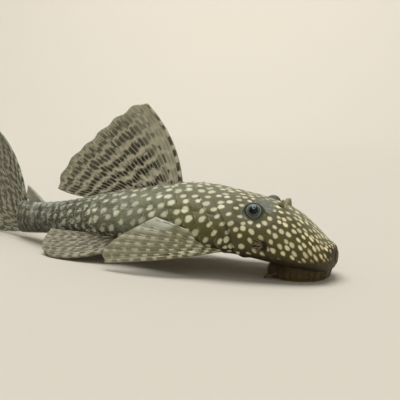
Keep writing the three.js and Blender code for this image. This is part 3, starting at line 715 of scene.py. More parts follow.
def add_node(tree, kind, settings=None, inputs=None, stops=()):
    """Adds a node with its settings, its values or links in order or by name, and the stops of a ramp.
    Gives its outputs."""
    node = tree.nodes.new("ShaderNode" + kind)
    for key, value in (settings or {}).items():
        setattr(node, key, value)
    named = inputs if isinstance(inputs, dict) else dict(enumerate(inputs or ()))
    for key, value in named.items():
        if isinstance(value, bpy.types.NodeSocket):
            tree.links.new(value, node.inputs[key])
        else:
            node.inputs[key].default_value = value
    for index, (where, value) in enumerate(stops):
        elements = node.color_ramp.elements
        stop = elements[index] if index < 2 else elements.new(where)
        stop.position = where
        stop.color = value
    return node.outputs


def new_material(name):
    """An empty material, and the function that adds a node to it."""
    material = bpy.data.materials.new(name)
    material.use_nodes = True
    material.node_tree.nodes.clear()
    return material, partial(add_node, material.node_tree)


def finish_surface(add, colour, gloss, relief=None, strength=0.0, depth=0.0):
    """Joins a colour and bumps of a strength and depth to the shader and its output."""
    looks = {"Base Color": colour, **gloss}
    if relief is not None:
        looks["Normal"] = add("Bump", inputs={"Strength": strength, "Distance": depth, "Height": relief})[0]
    shader = add("BsdfPrincipled", inputs=looks)[0]
    add("OutputMaterial", inputs=(shader,))


def skin_material(colours, sizes):
    """Fish skin over bony plates: matt and finely prickly, olive brown, paler towards the tail, with a
    round cream spot in each cell and a worn pale rim on every plate."""
    material, add = new_material("armoured_fish_skin")
    here = add("TexCoord")["Object"]
    axes = add("SeparateXYZ", inputs=(add("UVMap", {"uv_map": "Skin"})[0],))
    s, down = axes["X"], axes["Y"]
    brow, lid, bare, edge, recess_shade = (
        add("Attribute", {"attribute_name": name})["Fac"] for name in ("Brow", "Lid", "Bare", "Edge", "Dark"))
    base = add("ValToRGB", inputs=(s,), stops=(
        (0.004, colours.snout), (0.03, colours.head), (0.2, colours.head), (0.36, colours.trunk),
        (0.5, colours.rear), (0.66, linear("#595b47")), (0.79, linear("#47483b")),
        (0.835, colours.peduncle), (0.87, linear("#36372b")), (0.905, linear("#979a8d")),
        (0.94, linear("#36372b")), (0.97, colours.peduncle), (1, linear("#4a4b40"))))[0]
    # Painted light from above: the back is painted paler and greyer as a highlight, and the flank is painted
    # darker towards the belly as shade.
    off_tip = add("MapRange", SMOOTH, (s, 0.004, 0.04))[0]
    for start, end, most, tone in ((0.26, 0.02, 0.4, "#8f8d76"), (0.44, 0.66, 0.9, "#261f0b")):
        part = add("MapRange", SMOOTH, (down, start, end, 0.0, most))[0]
        part = add("Math", TIMES, (part, off_tip))[0]
        base = add("Mix", BLEND, {0: part, 6: base, 7: linear(tone)})["Result"]
    cloud = add("TexNoise", inputs={0: here, "Scale": per(2.9), "Detail": 4.0, "Roughness": 0.6})[0]
    tint = add("MapRange", inputs=(cloud, 0.3, 0.7, 0.72, 1.28))[0]
    base = add("Mix", TINT, {0: 1.0, 6: base, 7: tint})["Result"]
    # The brow frays out and is streaked with fine pale wrinkles, which are painted highlights, and the lids
    # are blue grey.
    fray = add("TexNoise", inputs={0: here, "Scale": per(2.1)})[0]
    fray = add("MapRange", inputs=(fray, 0.3, 0.7, -0.3, 0.3))[0]
    brow = add("Math", PLUS, (brow, fray))[0]
    brow = add("MapRange", SMOOTH, (brow, 0.35, 0.75))[0]
    wrinkle_highlight = add("VectorMath", TIMES, (here, (1.0, 0.35, 1.0)))[0]
    wrinkle_highlight = add("TexNoise", inputs={0: wrinkle_highlight, "Scale": per(0.8), "Detail": 3.0})[0]
    wrinkle_highlight = add("MapRange", inputs=(wrinkle_highlight, 0.5, 0.68, 0.0, 0.6))[0]
    crown = add("Mix", BLEND, {0: wrinkle_highlight, 6: colours.brow, 7: linear("#a7aa98")})["Result"]
    lid_tint = add("Math", TIMES, (lid, 0.8))[0]
    for share, tone in ((brow, crown), (lid_tint, linear("#474d39"))):
        base = add("Mix", BLEND, {0: share, 6: base, 7: tone})["Result"]

    # Spots: one in each cell of a loose lattice, each with its own size and brightness, and towards the
    # tail larger, fainter and broken up.
    lattice = add("UVMap", {"uv_map": "Spots"})[0]
    wobble = add("TexNoise", inputs={0: here, "Scale": per(1.1)})[1]
    wobble = add("VectorMath", MINUS, (wobble, (0.5, 0.5, 0.5)))[0]
    ragged = add("MapRange", SMOOTH, (s, 0.4, 0.8, 0.22, 0.8))[0]
    wobble = add("VectorMath", {"operation": "SCALE"}, {0: wobble, "Scale": ragged})[0]
    lattice = add("VectorMath", PLUS, (lattice, wobble))[0]
    cells = add("TexVoronoi", {"voronoi_dimensions": "2D"}, {0: lattice, "Scale": 1.0, "Randomness": 0.5})
    chance = add("SeparateXYZ", inputs=(cells["Color"],))
    away = add("VectorMath", MINUS, (lattice, cells["Position"]))[0]
    stretch = add("MapRange", inputs=(s, 0.03, 0.13, 0.72, 0.95))[0]
    away_x = add("VectorMath", DOT, (away, (LATTICE_ROW, LATTICE_SHIFT, 0)))["Value"]
    away_x = add("Math", TIMES, (away_x, stretch))[0]
    away_y = add("VectorMath", DOT, (away, (0, LATTICE_STEP, 0)))["Value"]
    away = add("CombineXYZ", inputs=(away_x, away_y))[0]
    away = add("VectorMath", SIZE, (away,))["Value"]
    radius = add("MapRange", inputs=(chance["X"], 0.0, 1.0, 0.22, 0.31))[0]
    outer = add("Math", PLUS, (radius, 0.12))[0]
    inner = add("Math", MINUS, (radius, 0.1))[0]
    spot = add("MapRange", SMOOTH, (away, outer, inner))[0]
    for other in (brow, lid):
        bare = add("Math", LARGER, (bare, other))[0]
    covered = add("Math", MINUS, (1.0, bare))[0]
    faded = add("MapRange", inputs=(s, 0.55, 0.88, 0.95, 0.4))[0]
    for share in (covered, faded):
        spot = add("Math", TIMES, (spot, share))[0]
    cream = add("ValToRGB", inputs=(s,), stops=(
        (0.05, colours.spot_head), (0.3, colours.spot_trunk), (0.8, colours.spot_rear)))[0]
    glow = add("MapRange", inputs=(chance["Y"], 0.0, 1.0, 0.74, 1.12))[0]
    cream = add("Mix", TINT, {0: 1.0, 6: cream, 7: glow})["Result"]

    # Fine pale and dark flecks of the rear flank, drawn out along the body
    drawn = add("VectorMath", TIMES, (lattice, (2.2, 6.0, 1.0)))[0]
    fleck = add("TexNoise", {"noise_dimensions": "2D"}, {0: drawn, "Scale": 1.0, "Detail": 3.0})[0]
    behind = add("ValToRGB", inputs=(s,), stops=(
        (0.42, linear("#000000")), (0.66, linear("#ffffff")), (0.8, linear("#ffffff")),
        (0.88, (0.35, 0.35, 0.35, 1))))[0]
    pale = add("MapRange", inputs=(fleck, 0.55, 0.68, 0.0, 0.65))[0]
    pale = add("Math", TIMES, (pale, behind))[0]
    dim = add("MapRange", inputs=(fleck, 0.45, 0.33, 0.0, 0.75))[0]
    dim = add("Math", TIMES, (dim, behind))[0]

    # The lower half of the tail root is painted dark as shade.
    tail = add("MapRange", SMOOTH, (s, 0.7, 0.84, 0.0, 0.6))[0]
    shaded = add("MapRange", SMOOTH, (down, 0.36, 0.54))[0]
    shaded = add("Math", TIMES, (shaded, tail))[0]

    # The worn rims of the plates are broken up, and the belly is bare and pale behind the mouth.
    broken = add("TexNoise", inputs={0: here, "Scale": per(0.9)})[0]
    broken = add("MapRange", inputs=(broken, 0.42, 0.62, 0.0, 0.6))[0]
    rim = add("Math", TIMES, (edge, broken))[0]
    under = add("Math", TIMES_PLUS, (cloud, 0.16, down))[0]
    under = add("MapRange", SMOOTH, (under, 0.9, 1.02, 0.0, 0.85))[0]
    behind_mouth = add("MapRange", SMOOTH, (s, 0.13, 0.2))[0]
    under = add("Math", TIMES, (under, behind_mouth))[0]
    belly = add("Mix", TINT, {0: 1.0, 6: colours.belly, 7: tint})["Result"]
    painted = base
    # The last layer is painted shade, near black, in the nostril pits, the cheek pockets and the groove
    # behind the gill line.
    for share, tone in (
            (spot, cream), (pale, linear("#b6b8a6")), (dim, linear("#45442d")), (shaded, linear("#2e2f23")),
            (rim, linear("#b7b292")), (under, belly), (recess_shade, linear("#1d1a0c"))):
        painted = add("Mix", BLEND, {0: share, 6: painted, 7: tone})["Result"]

    # Most prickles on the plates are finer than this in life, and are drawn as coarse as they need to show.
    grain = add("TexVoronoi", inputs={0: here, "Scale": 1 / sizes.grain})["Distance"]
    folds = add("TexNoise", inputs={0: here, "Scale": per(1.4), "Detail": 5.0})[0]
    relief = add("Math", PLUS, (folds, grain))[0]
    gloss = add("MapRange", inputs=(cloud, 0.3, 0.7, 0.42, 0.6))[0]
    finish_surface(add, painted, {"Roughness": gloss, "Specular IOR Level": 0.3}, relief, 0.3, 0.2 * MM)
    return material


def fin_material(name, skin, dark, ray, dash_pale, pale="#8d8b78", dash=2.7, duty=0.5, slope=0.0,
                 lines=2, row=3.4, step=0.12, uneven=0.2, full=0.25, patches=0.0, calm=0.0,
                 patch_from=0.0, worn=0.0):
    """Fin skin over bony rays: thin and satin, the rays banded pale and dark, and the skin between them
    streaked with short dark strokes that lie in rows. The bands come every dash millimetres and the rows
    every row millimetres. duty is the pale share of a ray, and full half the pale share between strokes.
    Each band is shifted by slope against the next ray's, and each stroke by step against the next one, of
    which there are lines from ray to ray. patches is how dark the strokes are, and they are faint in front
    of the ray calm. The edge is pale behind the ray patch_from, and fades to the colour pale by worn."""
    material, add = new_material(name)
    here = add("TexCoord")["Object"]
    axes = add("SeparateXYZ", inputs=(add("UVMap", {"uv_map": "Rays"})[0],))
    number, along = axes["X"], axes["Y"]
    bone, out = (add("Attribute", {"attribute_name": key})["Fac"] for key in ("Ray", "Out"))
    cloud = add("TexNoise", inputs={0: here, "Scale": per(2.4), "Detail": 4.0, "Roughness": 0.6})[0]
    loose = add("MapRange", inputs=(cloud, 0.25, 0.75, -0.35, 0.35))[0]

    # Bands of the rays
    whole = add("Math", NEAREST, (number,))[0]
    lean = add("Math", TIMES_PLUS, (whole, slope, loose))[0]
    phase = add("Math", TIMES_PLUS, (along, 1 / dash, lean))[0]
    wave = add("Math", FOLD, (phase, 0.5))[0]
    dashed = add("MapRange", SMOOTH, (wave, 0.5 * duty - 0.1, 0.5 * duty + 0.1, 1.0, 0.0))[0]
    banded = add("Mix", BLEND, {0: dashed, 6: linear(ray), 7: linear(dash_pale)})["Result"]

    # Strokes of the skin between the rays
    strand = add("Math", TIMES, (number, float(lines)))[0]
    wavy = add("Math", TIMES_PLUS, (loose, 0.5, strand))[0]
    line = add("Math", FOLD, (wavy, 0.5))[0]
    line = add("Math", MINUS, (0.5, line))[0]
    strand = add("Math", NEAREST, (wavy,))[0]
    shift = add("TexWhiteNoise", {"noise_dimensions": "1D"}, {"W": strand})["Value"]
    shift = add("Math", TIMES_PLUS, (shift, uneven, loose))[0]
    strand = add("Math", TIMES_PLUS, (strand, step, shift))[0]
    rows = add("Math", TIMES_PLUS, (along, 1 / row, strand))[0]
    rows = add("Math", FOLD, (rows, 0.5))[0]
    stroke = add("MapRange", SMOOTH, (rows, full - 0.17, full + 0.17, 0.0, patches))[0]
    in_line = add("MapRange", SMOOTH, (line, 0.02, 0.24, 0.5, 1.0))[0]
    settled = add("MapRange", SMOOTH, (number, calm * 0.5, calm + 0.5, 0.35 if calm else 1.0, 1.0))[0]
    fringe = add("MapRange", SMOOTH, (out, 0.88, 1.0, 1.0, 0.45))[0]
    for share in (in_line, settled, fringe):
        stroke = add("Math", TIMES, (stroke, share))[0]

    shade = add("MapRange", inputs=(cloud, 0.3, 0.7, 0.8, 1.2))[0]
    painted = add("Mix", TINT, {0: 1.0, 6: linear(skin), 7: shade})["Result"]
    if calm:
        clear = add("MapRange", inputs=(settled, 0.35, 1.0, 0.5, 0.0))[0]
        painted = add("Mix", BLEND, {0: clear, 6: painted, 7: linear("#b9b5a0")})["Result"]
    gleam = add("MapRange", SMOOTH, (line, 0.16, 0.02, 1.0, 1.22))[0]
    painted = add("Mix", TINT, {0: 1.0, 6: painted, 7: gleam})["Result"]
    layers = [(stroke, linear(dark))]
    if patch_from:
        upper = add("MapRange", SMOOTH, (number, patch_from - 0.5, patch_from + 0.3, 0.0, 0.9))[0]
        outer = add("MapRange", SMOOTH, (out, 0.6, 0.74))[0]
        layers.append((add("Math", TIMES, (upper, outer))[0], linear("#d6dacb")))
    thin = add("MapRange", SMOOTH, (out, 0.35, 1.0, 0.0, worn))[0]
    for share, tone in layers + [(bone, banded), (thin, linear(pale))]:
        painted = add("Mix", BLEND, {0: share, 6: painted, 7: tone})["Result"]
    relief = add("TexNoise", inputs={0: here, "Scale": per(0.7), "Detail": 3.0})[0]
    finish_surface(add, painted, {"Roughness": 0.5, "Specular IOR Level": 0.4}, relief, 0.2, 0.1 * MM)
    return material


def eye_material(colours):
    """A living eye under its clear cornea: a dark pupil with a flap hanging into it from above, a blue
    grey iris with a thin pale ring, and a wet coat over all."""
    material, add = new_material("wet_eye")
    here = add("TexCoord")["Object"]
    flat = add("UVMap", {"uv_map": "Iris"})[0]
    axes = add("SeparateXYZ", inputs=(flat,))
    across, up = axes["X"], axes["Y"]
    away = add("VectorMath", SIZE, (flat,))["Value"]
    cloud = add("TexNoise", inputs={0: here, "Scale": per(0.7), "Detail": 4.0})[0]
    uneven = add("MapRange", inputs=(cloud, 0.3, 0.7, -0.08, 0.08))[0]
    away = add("Math", PLUS, (away, uneven))[0]
    away = add("Math", {"operation": "DIVIDE"}, (away, EYE["radius"]))[0]
    iris = add("ValToRGB", inputs=(away,), stops=(
        (0.0, colours.pupil), (0.48, colours.pupil), (0.53, linear("#56645d")),
        (0.66, linear("#4a5854")), (0.78, colours.iris), (0.87, linear("#a3ab9c")),
        (0.92, linear("#4c5747")), (1.0, linear("#3b4233"))))[0]
    # Painted shade: the iris is painted darker towards its lower side.
    iris_lower_shade = add("MapRange", inputs=(up, -2.0, 0.2, 0.6, 1.0))[0]
    iris = add("Mix", TINT, {0: 1.0, 6: iris, 7: iris_lower_shade})["Result"]
    # The flap hangs from the top of the pupil and is darkest in its middle.
    flap_y = add("Math", TIMES_PLUS, (up, 0.72, -0.62))[0]
    flap_at = add("CombineXYZ", inputs=(across, flap_y))[0]
    flap_away = add("VectorMath", SIZE, (flap_at,))["Value"]
    flap_away = add("Math", TIMES_PLUS, (cloud, 0.16, flap_away))[0]
    flap = add("MapRange", SMOOTH, (flap_away, 0.58, 0.48))[0]
    core = add("MapRange", SMOOTH, (flap_away, 0.46, 0.3))[0]
    tone = add("Mix", BLEND, {0: core, 6: linear("#7f8a86"), 7: linear("#3b4545")})["Result"]
    painted = add("Mix", BLEND, {0: flap, 6: iris, 7: tone})["Result"]
    finish_surface(add, painted, {
        "Roughness": 0.35, "Coat Weight": 0.6, "Coat Roughness": 0.04, "Coat IOR": 1.34, "IOR": 1.34,
        "Specular IOR Level": 0.15})
    return material


def lip_material(colours):
    """Moist soft flesh: brown on the outer rim, painted darker there as shade and darker still towards the
    top, paler below and set with close small bumps whose gaps are painted darker as shade, and reddish in the
    mouth, painted dark as shade where it is deep."""
    material, add = new_material("soft_lip_flesh")
    here = add("TexCoord")["Object"]
    cloud = add("TexNoise", inputs={0: here, "Scale": per(1.1), "Detail": 4.0, "Roughness": 0.65})[0]
    mottled = add("MapRange", inputs=(cloud, 0.35, 0.65))[0]
    # Painted shade: the rim is painted a darker brown than its own flesh, and darker still towards the top,
    # under the head.
    rim = add("Mix", BLEND, {0: mottled, 6: colours.lips, 7: linear("#3a2f16")})["Result"]
    height = add("SeparateXYZ", inputs=(here,))["Z"]
    shade = add("MapRange", SMOOTH, (height, 0.8 * MM, 3.0 * MM, 1.0, 0.6))[0]
    rim = add("Mix", TINT, {0: 1.0, 6: rim, 7: shade})["Result"]
    bumps = add("TexVoronoi", {"feature": "SMOOTH_F1"},
                {0: here, "Scale": per(0.42), "Smoothness": 0.3})["Distance"]
    # Painted shade between the bumps: the pale flesh is painted paler in each bump's middle and darker
    # towards its edge.
    pale = add("MapRange", inputs=(bumps, 0.15, 0.6, 1.15, 0.6))[0]
    pale = add("Mix", TINT, {0: 1.0, 6: linear("#9c8762"), 7: pale})["Result"]
    below, recess_shade = (add("Attribute", {"attribute_name": key})["Fac"] for key in ("Under", "Deep"))
    painted = rim
    for share, tone in ((below, pale), (recess_shade, linear("#4a2c20"))):
        painted = add("Mix", BLEND, {0: share, 6: painted, 7: tone})["Result"]
    raised = add("MapRange", inputs=(below, 0.0, 1.0, 0.15, 1.0))[0]
    raised = add("Math", TIMES, (bumps, raised))[0]
    finish_surface(add, painted, {"Roughness": 0.5, "Specular IOR Level": 0.25}, raised, 0.5, 0.25 * MM)
    return material


def flesh_material(name, main, second, grain, roughness=0.5):
    """Flesh, horn or enamel in two mottled tones, with small bumps. Its grain is in millimetres."""
    material, add = new_material(name)
    here = add("TexCoord")["Object"]
    cloud = add("TexNoise", inputs={0: here, "Scale": per(grain), "Detail": 4.0, "Roughness": 0.65})[0]
    mottled = add("MapRange", inputs=(cloud, 0.35, 0.65))[0]
    painted = add("Mix", BLEND, {0: mottled, 6: linear(main), 7: linear(second)})["Result"]
    relief = add("TexNoise", inputs={0: here, "Scale": per(grain / 2), "Detail": 3.0})[0]
    gloss = {"Roughness": roughness, "Specular IOR Level": 0.4}
    finish_surface(add, painted, gloss, relief, 0.3, grain / 6 * MM)
    return material


# Operators

class PLECO_OT_skin(bpy.types.Operator):
    """Make the skin of head, trunk and tail in one piece"""
    bl_idname = "pleco.skin"
    bl_label = "Skin"

    def execute(self, context):
        sizes, colours = context.scene.pleco_sizes, context.scene.pleco_colours
        mesh = grid_mesh(*body_points(sizes))
        finish_piece("pleco_skin", mesh, skin_material(colours, sizes), "skin", "head", "trunk", "tail")
        return {"FINISHED"}


class PLECO_OT_eyes(bpy.types.Operator):
    """Make both eyeballs"""
    bl_idname = "pleco.eyes"
    bl_label = "Eyes"

    def execute(self, context):
        material = eye_material(context.scene.pleco_colours)
        radius = EYE["radius"]
        for side, word in SIDES:
            middle, look, up, across = eye_frame(side)
            turn = Matrix((across, up, look)).transposed().to_4x4()
            bm = bmesh.new()
            bmesh.ops.create_uvsphere(bm, u_segments=72, v_segments=48, radius=radius)
            # The map of the iris holds the way over the ball from the middle of the pupil.
            layer = bm.loops.layers.uv.new("Iris")
            for face in bm.faces:
                for loop in face.loops:
                    co = loop.vert.co
                    reach = max(math.hypot(co.x, co.y), TINY)
                    arc = radius * math.acos(max(-1, min(1, co.z / radius)))
                    loop[layer].uv = (co.x / reach * arc, co.y / reach * arc)
            for vert in bm.verts:
                # The cornea stands out a little from the ball.
                vert.co.z += EYE["cornea"] * max(0, vert.co.z / radius - 0.6) ** 1.5
                vert.co = place(*(Vector(middle) + turn @ vert.co))
            finish_piece(f"pleco_eye_{word}", mesh_from(bm), material, "eyes", f"eye_{word}")
        return {"FINISHED"}


class PLECO_OT_mouth(bpy.types.Operator):
    """Make the sucker mouth with its lips, opening, barbels and teeth"""
    bl_idname = "pleco.mouth"
    bl_label = "Sucker mouth"

    def execute(self, context):
        # share goes from the middle of the underside, 0, to the rim and up under the head, 1.
        rim_at = 0.7
        rings, sides = MOUTH_GRID
        share, angle = np.meshgrid(
            np.linspace(0, 1, rings), np.linspace(0, 2 * math.pi, sides), indexing="ij")
        under = np.clip(share / rim_at, 0, 1)
        over = np.clip((share - rim_at) / (1 - rim_at), 0, 1)
        frill = 1 + 0.012 * (np.sin(angle * 31) + np.sin(angle * 17 + 1.3)) + 0.01 * np.sin(angle * 43)
        # In front the rim runs up into the snout, and behind it is a free flap.
        flare = mix(-0.22, 0.13, 0.5 + 0.5 * np.cos(angle))
        size = np.where(share <= rim_at, under, 1 + 0.03 * np.sin(over * math.pi) + flare * over**2)
        size = size * mix(1, frill, smoothstep(0.55, rim_at, share) * (1 - 0.6 * over))
        s = DISC["s"] - DISC["length"] * size * np.cos(angle)
        y = DISC["width"] * size * np.sin(angle)
        rim = 0.55 * smoothstep(0.9, 1, under) ** 2
        away = np.hypot((s - OPENING["s"]) / OPENING["length"], y / OPENING["width"])
        hollow = OPENING["depth"] * np.sqrt(np.clip(1 - away**2, 0, 1))
        lip = 0.2 * np.exp(-((away - 1.12) / 0.12) ** 2)
        low = rim + np.maximum(0.14 - lip, 0.01) + hollow
        z = np.where(share <= rim_at, low, mix(0.7, 4.6, over**1.2))
        # Deep is how dark the mouth's reddish opening is painted as shade, most where it is deepest.
        maps = {"Under": (1 - smoothstep(0.9, 1, under)).T, "Deep": smoothstep(0.05, 0.6, hollow).T}
        mesh = grid_mesh(place(s, y, z).transpose(1, 0, 2), maps)
        material = lip_material(context.scene.pleco_colours)
        finish_piece("pleco_mouth", mesh, material, "lips", "mouth_disc")

        bm = bmesh.new()
        for side, _ in SIDES:
            add_hook(bm, *(place(s, side * y, z) for s, y, z in BARBEL), 0.42 * MM, 12, 0.4)
        # Soft barbel skin: mottled brown and satin
        material = flesh_material("barbel_skin", "#5f5033", "#3d321a", 1.1)
        finish_piece("pleco_barbels", mesh_from(bm), material, "lips")

        # Two combs of fine teeth in each jaw
        draw = random.Random(5)
        bm = bmesh.new()
        for side, _ in SIDES:
            for jaw in (1, -1):
                for k in range(TEETH["count"]):
                    y = side * (0.5 + 0.2 * k)
                    s = OPENING["s"] + jaw * (1.15 - 0.02 * k**1.3)
                    tip = place(s - 0.25 * jaw, y, 1.15 - TEETH["length"] * vary(draw, 0.1))
                    add_prickle(bm, place(s, y, 1.15), tip, TEETH["radius"] * MM)
        # Tooth: amber, hard and glossier than the lips
        material = flesh_material("amber_tooth", "#b98c4c", "#8e6330", 0.8, 0.35)
        finish_piece("pleco_teeth", mesh_from(bm), material, "lips")
        return {"FINISHED"}


class PLECO_OT_median_fins(bpy.types.Operator):
    """Make the dorsal, adipose, anal and tail fins"""
    bl_idname = "pleco.median_fins"
    bl_label = "Median fins"

    def execute(self, context):
        looks = {
            "dorsal": (168, 90, fin_material(
                "dorsal_fin_skin", "#bab69e", "#1f1d0d", "#343119", "#c6c1a9", "#9a967e", dash=3.5,
                slope=0.24, lines=4, row=3.8, step=0.06, uneven=0.3, full=0.17, patches=1.0, calm=1.5,
                worn=0.3)),
            "caudal": (210, 90, fin_material(
                "tail_fin_skin", "#96947f", "#23210f", "#34311d", "#a19f8a", "#82806e", dash=5.2,
                slope=0.3, lines=3, row=6.2, step=0.14, uneven=0.5, full=0.2, patches=0.95, worn=0.2)),
            "adipose": (40, 40, fin_material("adipose_fin_skin", "#8d8c7a", "#77776a", "#8f8f80", "#a5a596")),
            "anal": (80, 50, fin_material("anal_fin_skin", "#8b8468", "#5f5b42", "#6a654a", "#b9b396")),
        }
        for word, (across, along, material) in looks.items():
            mesh = grid_mesh(*fin_points(FINS[word], 1, across, along, context.scene.pleco_sizes))
            finish_piece(f"pleco_{word}_fin", mesh, material, "fins", f"{word}_fin")
        return {"FINISHED"}


class PLECO_OT_paired_fins(bpy.types.Operator):
    """Make the pectoral and pelvic fins"""
    bl_idname = "pleco.paired_fins"
    bl_label = "Paired fins"

    def execute(self, context):
        looks = {
            "pectoral": fin_material(
                "pectoral_fin_skin", "#8d8a6c", "#5a573d", "#676347", "#d4d0b2", "#9a9881", dash=2.7,
                duty=0.45, slope=0.37, row=2.7, step=0.18, patches=0.6, patch_from=4.9, worn=0.6),
            "pelvic": fin_material(
                "pelvic_fin_skin", "#97927c", "#48442f", "#6f6a53", "#bdb8a1", "#918d79", dash=3.0,
                slope=0.3, lines=4, row=3.0, step=0.3, uneven=0.5, full=0.24, patches=0.9, worn=0.35),
        }
        for word, material in looks.items():
            for side, side_word in SIDES:
                fin = inner_fin(FINS[word]) if side > 0 else FINS[word]
                mesh = grid_mesh(*fin_points(fin, side, 130, 90, context.scene.pleco_sizes))
                name = f"{word}_fin_{side_word}"
                finish_piece(f"pleco_{name}", mesh, material, "fins", name)
        return {"FINISHED"}


class PLECO_OT_nostril_flaps(bpy.types.Operator):
    """Make the flap of skin that stands in front of each nostril"""
    bl_idname = "pleco.nostril_flaps"
    bl_label = "Nostril flaps"

    def execute(self, context):
        # Thin skin with light in it: cream, mottled with olive
        material = flesh_material("thin_flap_skin", "#d9d2b6", "#7d764c", 1.1)
        # An upright lobe curled round the front of the pit, thick at its root and thin at its rim. t goes
        # up it, and v round it, over its outer face and back over its inner one.
        t, v = np.meshgrid(np.linspace(0, 1, 25), np.linspace(0, 2 * math.pi, 65), indexing="ij")
        outer = v <= math.pi
        face = np.where(outer, v / math.pi, 2 - v / math.pi) * 2 - 1
        thick = (0.16 + 0.4 * (1 - t)) * np.sqrt(np.maximum(1 - face**2, 0)) * np.sqrt(1 - t**6)
        radius = NOSTRIL["radius"] + 0.05 + 0.2 * t + np.where(outer, thick, -thick) / 2
        curl = face * math.radians(84) + math.radians(40)
        for side, word in SIDES:
            top = 1.55 * np.sqrt(1 - 0.98 * np.abs(face) ** 2.6) * (1 + 0.04 * np.sin(9 * face + 2 * side))
            height = -0.6 + (0.6 + top) * t
            cy, cz, ny, nz = skin_point(NOSTRIL["s"], side * math.radians(NOSTRIL["angle"]))
            s = NOSTRIL["s"] - 0.15 - radius * np.cos(curl) + 0.3 * t**2
            aside = side * (0.1 * t**2 - radius * np.sin(curl))
            y = cy + aside * nz + height * ny
            z = cz - aside * ny + height * nz + 0.32 * (s - NOSTRIL["s"]) * (1 - t)
            finish_piece(f"pleco_nostril_flap_{word}", grid_mesh(place(s, y, z), {}), material, "skin")
        return {"FINISHED"}


class PLECO_OT_cheek_spines(bpy.types.Operator):
    """Make the fan of spines that lies in each cheek pocket"""
    bl_idname = "pleco.cheek_spines"
    bl_label = "Cheek spines"

    def execute(self, context):
        draw = random.Random(7)
        bm = bmesh.new()
        for side, _ in SIDES:
            for share in np.linspace(-0.5, 0.5, SPINES["count"]):
                size = SPINES["length"] * (0.55 + 0.45 * math.cos(math.pi * share)) * vary(draw, 0.15)
                root_turn = CHEEK["angle"] + share * 13
                tip_turn = CHEEK["angle"] + share * 26 + draw.uniform(-2, 2)
                tip_lift = 0.3 + 0.25 * draw.uniform(-1, 1)
                stops = (on_skin(CHEEK["s"] - 0.4 + along, side * math.radians(turn), lift)
                         for along, turn, lift in (
                             (0, root_turn, -1.6), (0.45 * size, (root_turn + tip_turn) / 2, -0.3),
                             (size, tip_turn, tip_lift)))
                add_hook(bm, *stops, SPINES["radius"] * MM)
        # Horn: straw coloured, smooth and a little glossy
        material = flesh_material("horny_spine", "#a79c76", "#6a5a34", 1.2, 0.4)
        finish_piece("pleco_cheek_spines", mesh_from(bm), material, "skin")
        return {"FINISHED"}


class PLECO_OT_snout_bristles(bpy.types.Operator):
    """Make the short soft bristles on the rim of the snout"""
    bl_idname = "pleco.snout_bristles"
    bl_label = "Snout bristles"

    def execute(self, context):
        draw = random.Random(11)
        bm = bmesh.new()
        for side, _ in SIDES:
            for i in range(BRISTLES["count"]):
                share = (i + 0.5) / BRISTLES["count"]
                s = mix(0.9, 9.5, share**1.4)
                size = BRISTLES["length"] * vary(draw, 0.3)
                turn = side * math.radians(97 + 6 * draw.uniform(-1, 1))
                y, z, _, _ = skin_point(s, turn)
                out = Vector((share - 1, side * (0.35 + share))).normalized()
                lean = 0.12 * draw.uniform(-1, 1)
                bend = place(s + out.x * 0.4 * size, y + out.y * 0.4 * size, z + 0.05)
                tip = place(s + out.x * size + lean, y + out.y * size, z + 0.35 * size)
                add_hook(bm, on_skin(s, turn, -0.6), bend, tip, BRISTLES["radius"] * MM, 8, 0.35)
        # Soft flesh: brown and satin, paler than the rim of the snout
        material = flesh_material("soft_bristle", "#7f7050", "#5f5233", 1.0)
        finish_piece("pleco_snout_bristles", mesh_from(bm), material, "skin")
        return {"FINISHED"}


class PLECO_OT_prickles(bpy.types.Operator):
    """Make the rows of small prickles along the rear edges of the plates"""
    bl_idname = "pleco.prickles"
    bl_label = "Plate prickles"

    def execute(self, context):
        draw = random.Random(23)
        # Enamel: hard pale points that catch the light along the plates' rims
        material = flesh_material("enamel_prickle", "#b5b091", "#89845f", 1.2, 0.4)
        rise = context.scene.pleco_sizes.plate_rise / MM
        for side, word in SIDES:
            bm = bmesh.new()
            for u in range(1, PLATES):
                for low, high in zip(ROW_EDGES[:-1], ROW_EDGES[1:]):
                    for k in range(1, PRICKLES["count"] + 1):
                        share = k / (PRICKLES["count"] + 1) + 0.02 * draw.uniform(-1, 1)
                        turn = math.radians(mix(low, high, share))
                        plate = float(row_share(turn))
                        s = float(plate_edge(u, turn, plate)) - 0.25
                        size = PRICKLES["length"] * vary(draw, 0.3)
                        root = on_skin(s, side * turn, rise * plate * 0.8 - 0.05)
                        tip = skin_point(s + size, side * turn, rise * plate + 0.1)
                        tip = place(s + size, *tip[:2])
                        add_prickle(bm, root, tip, PRICKLES["radius"] * MM, 4)
            finish_piece(f"pleco_prickles_{word}", mesh_from(bm), material, "skin")
        return {"FINISHED"}


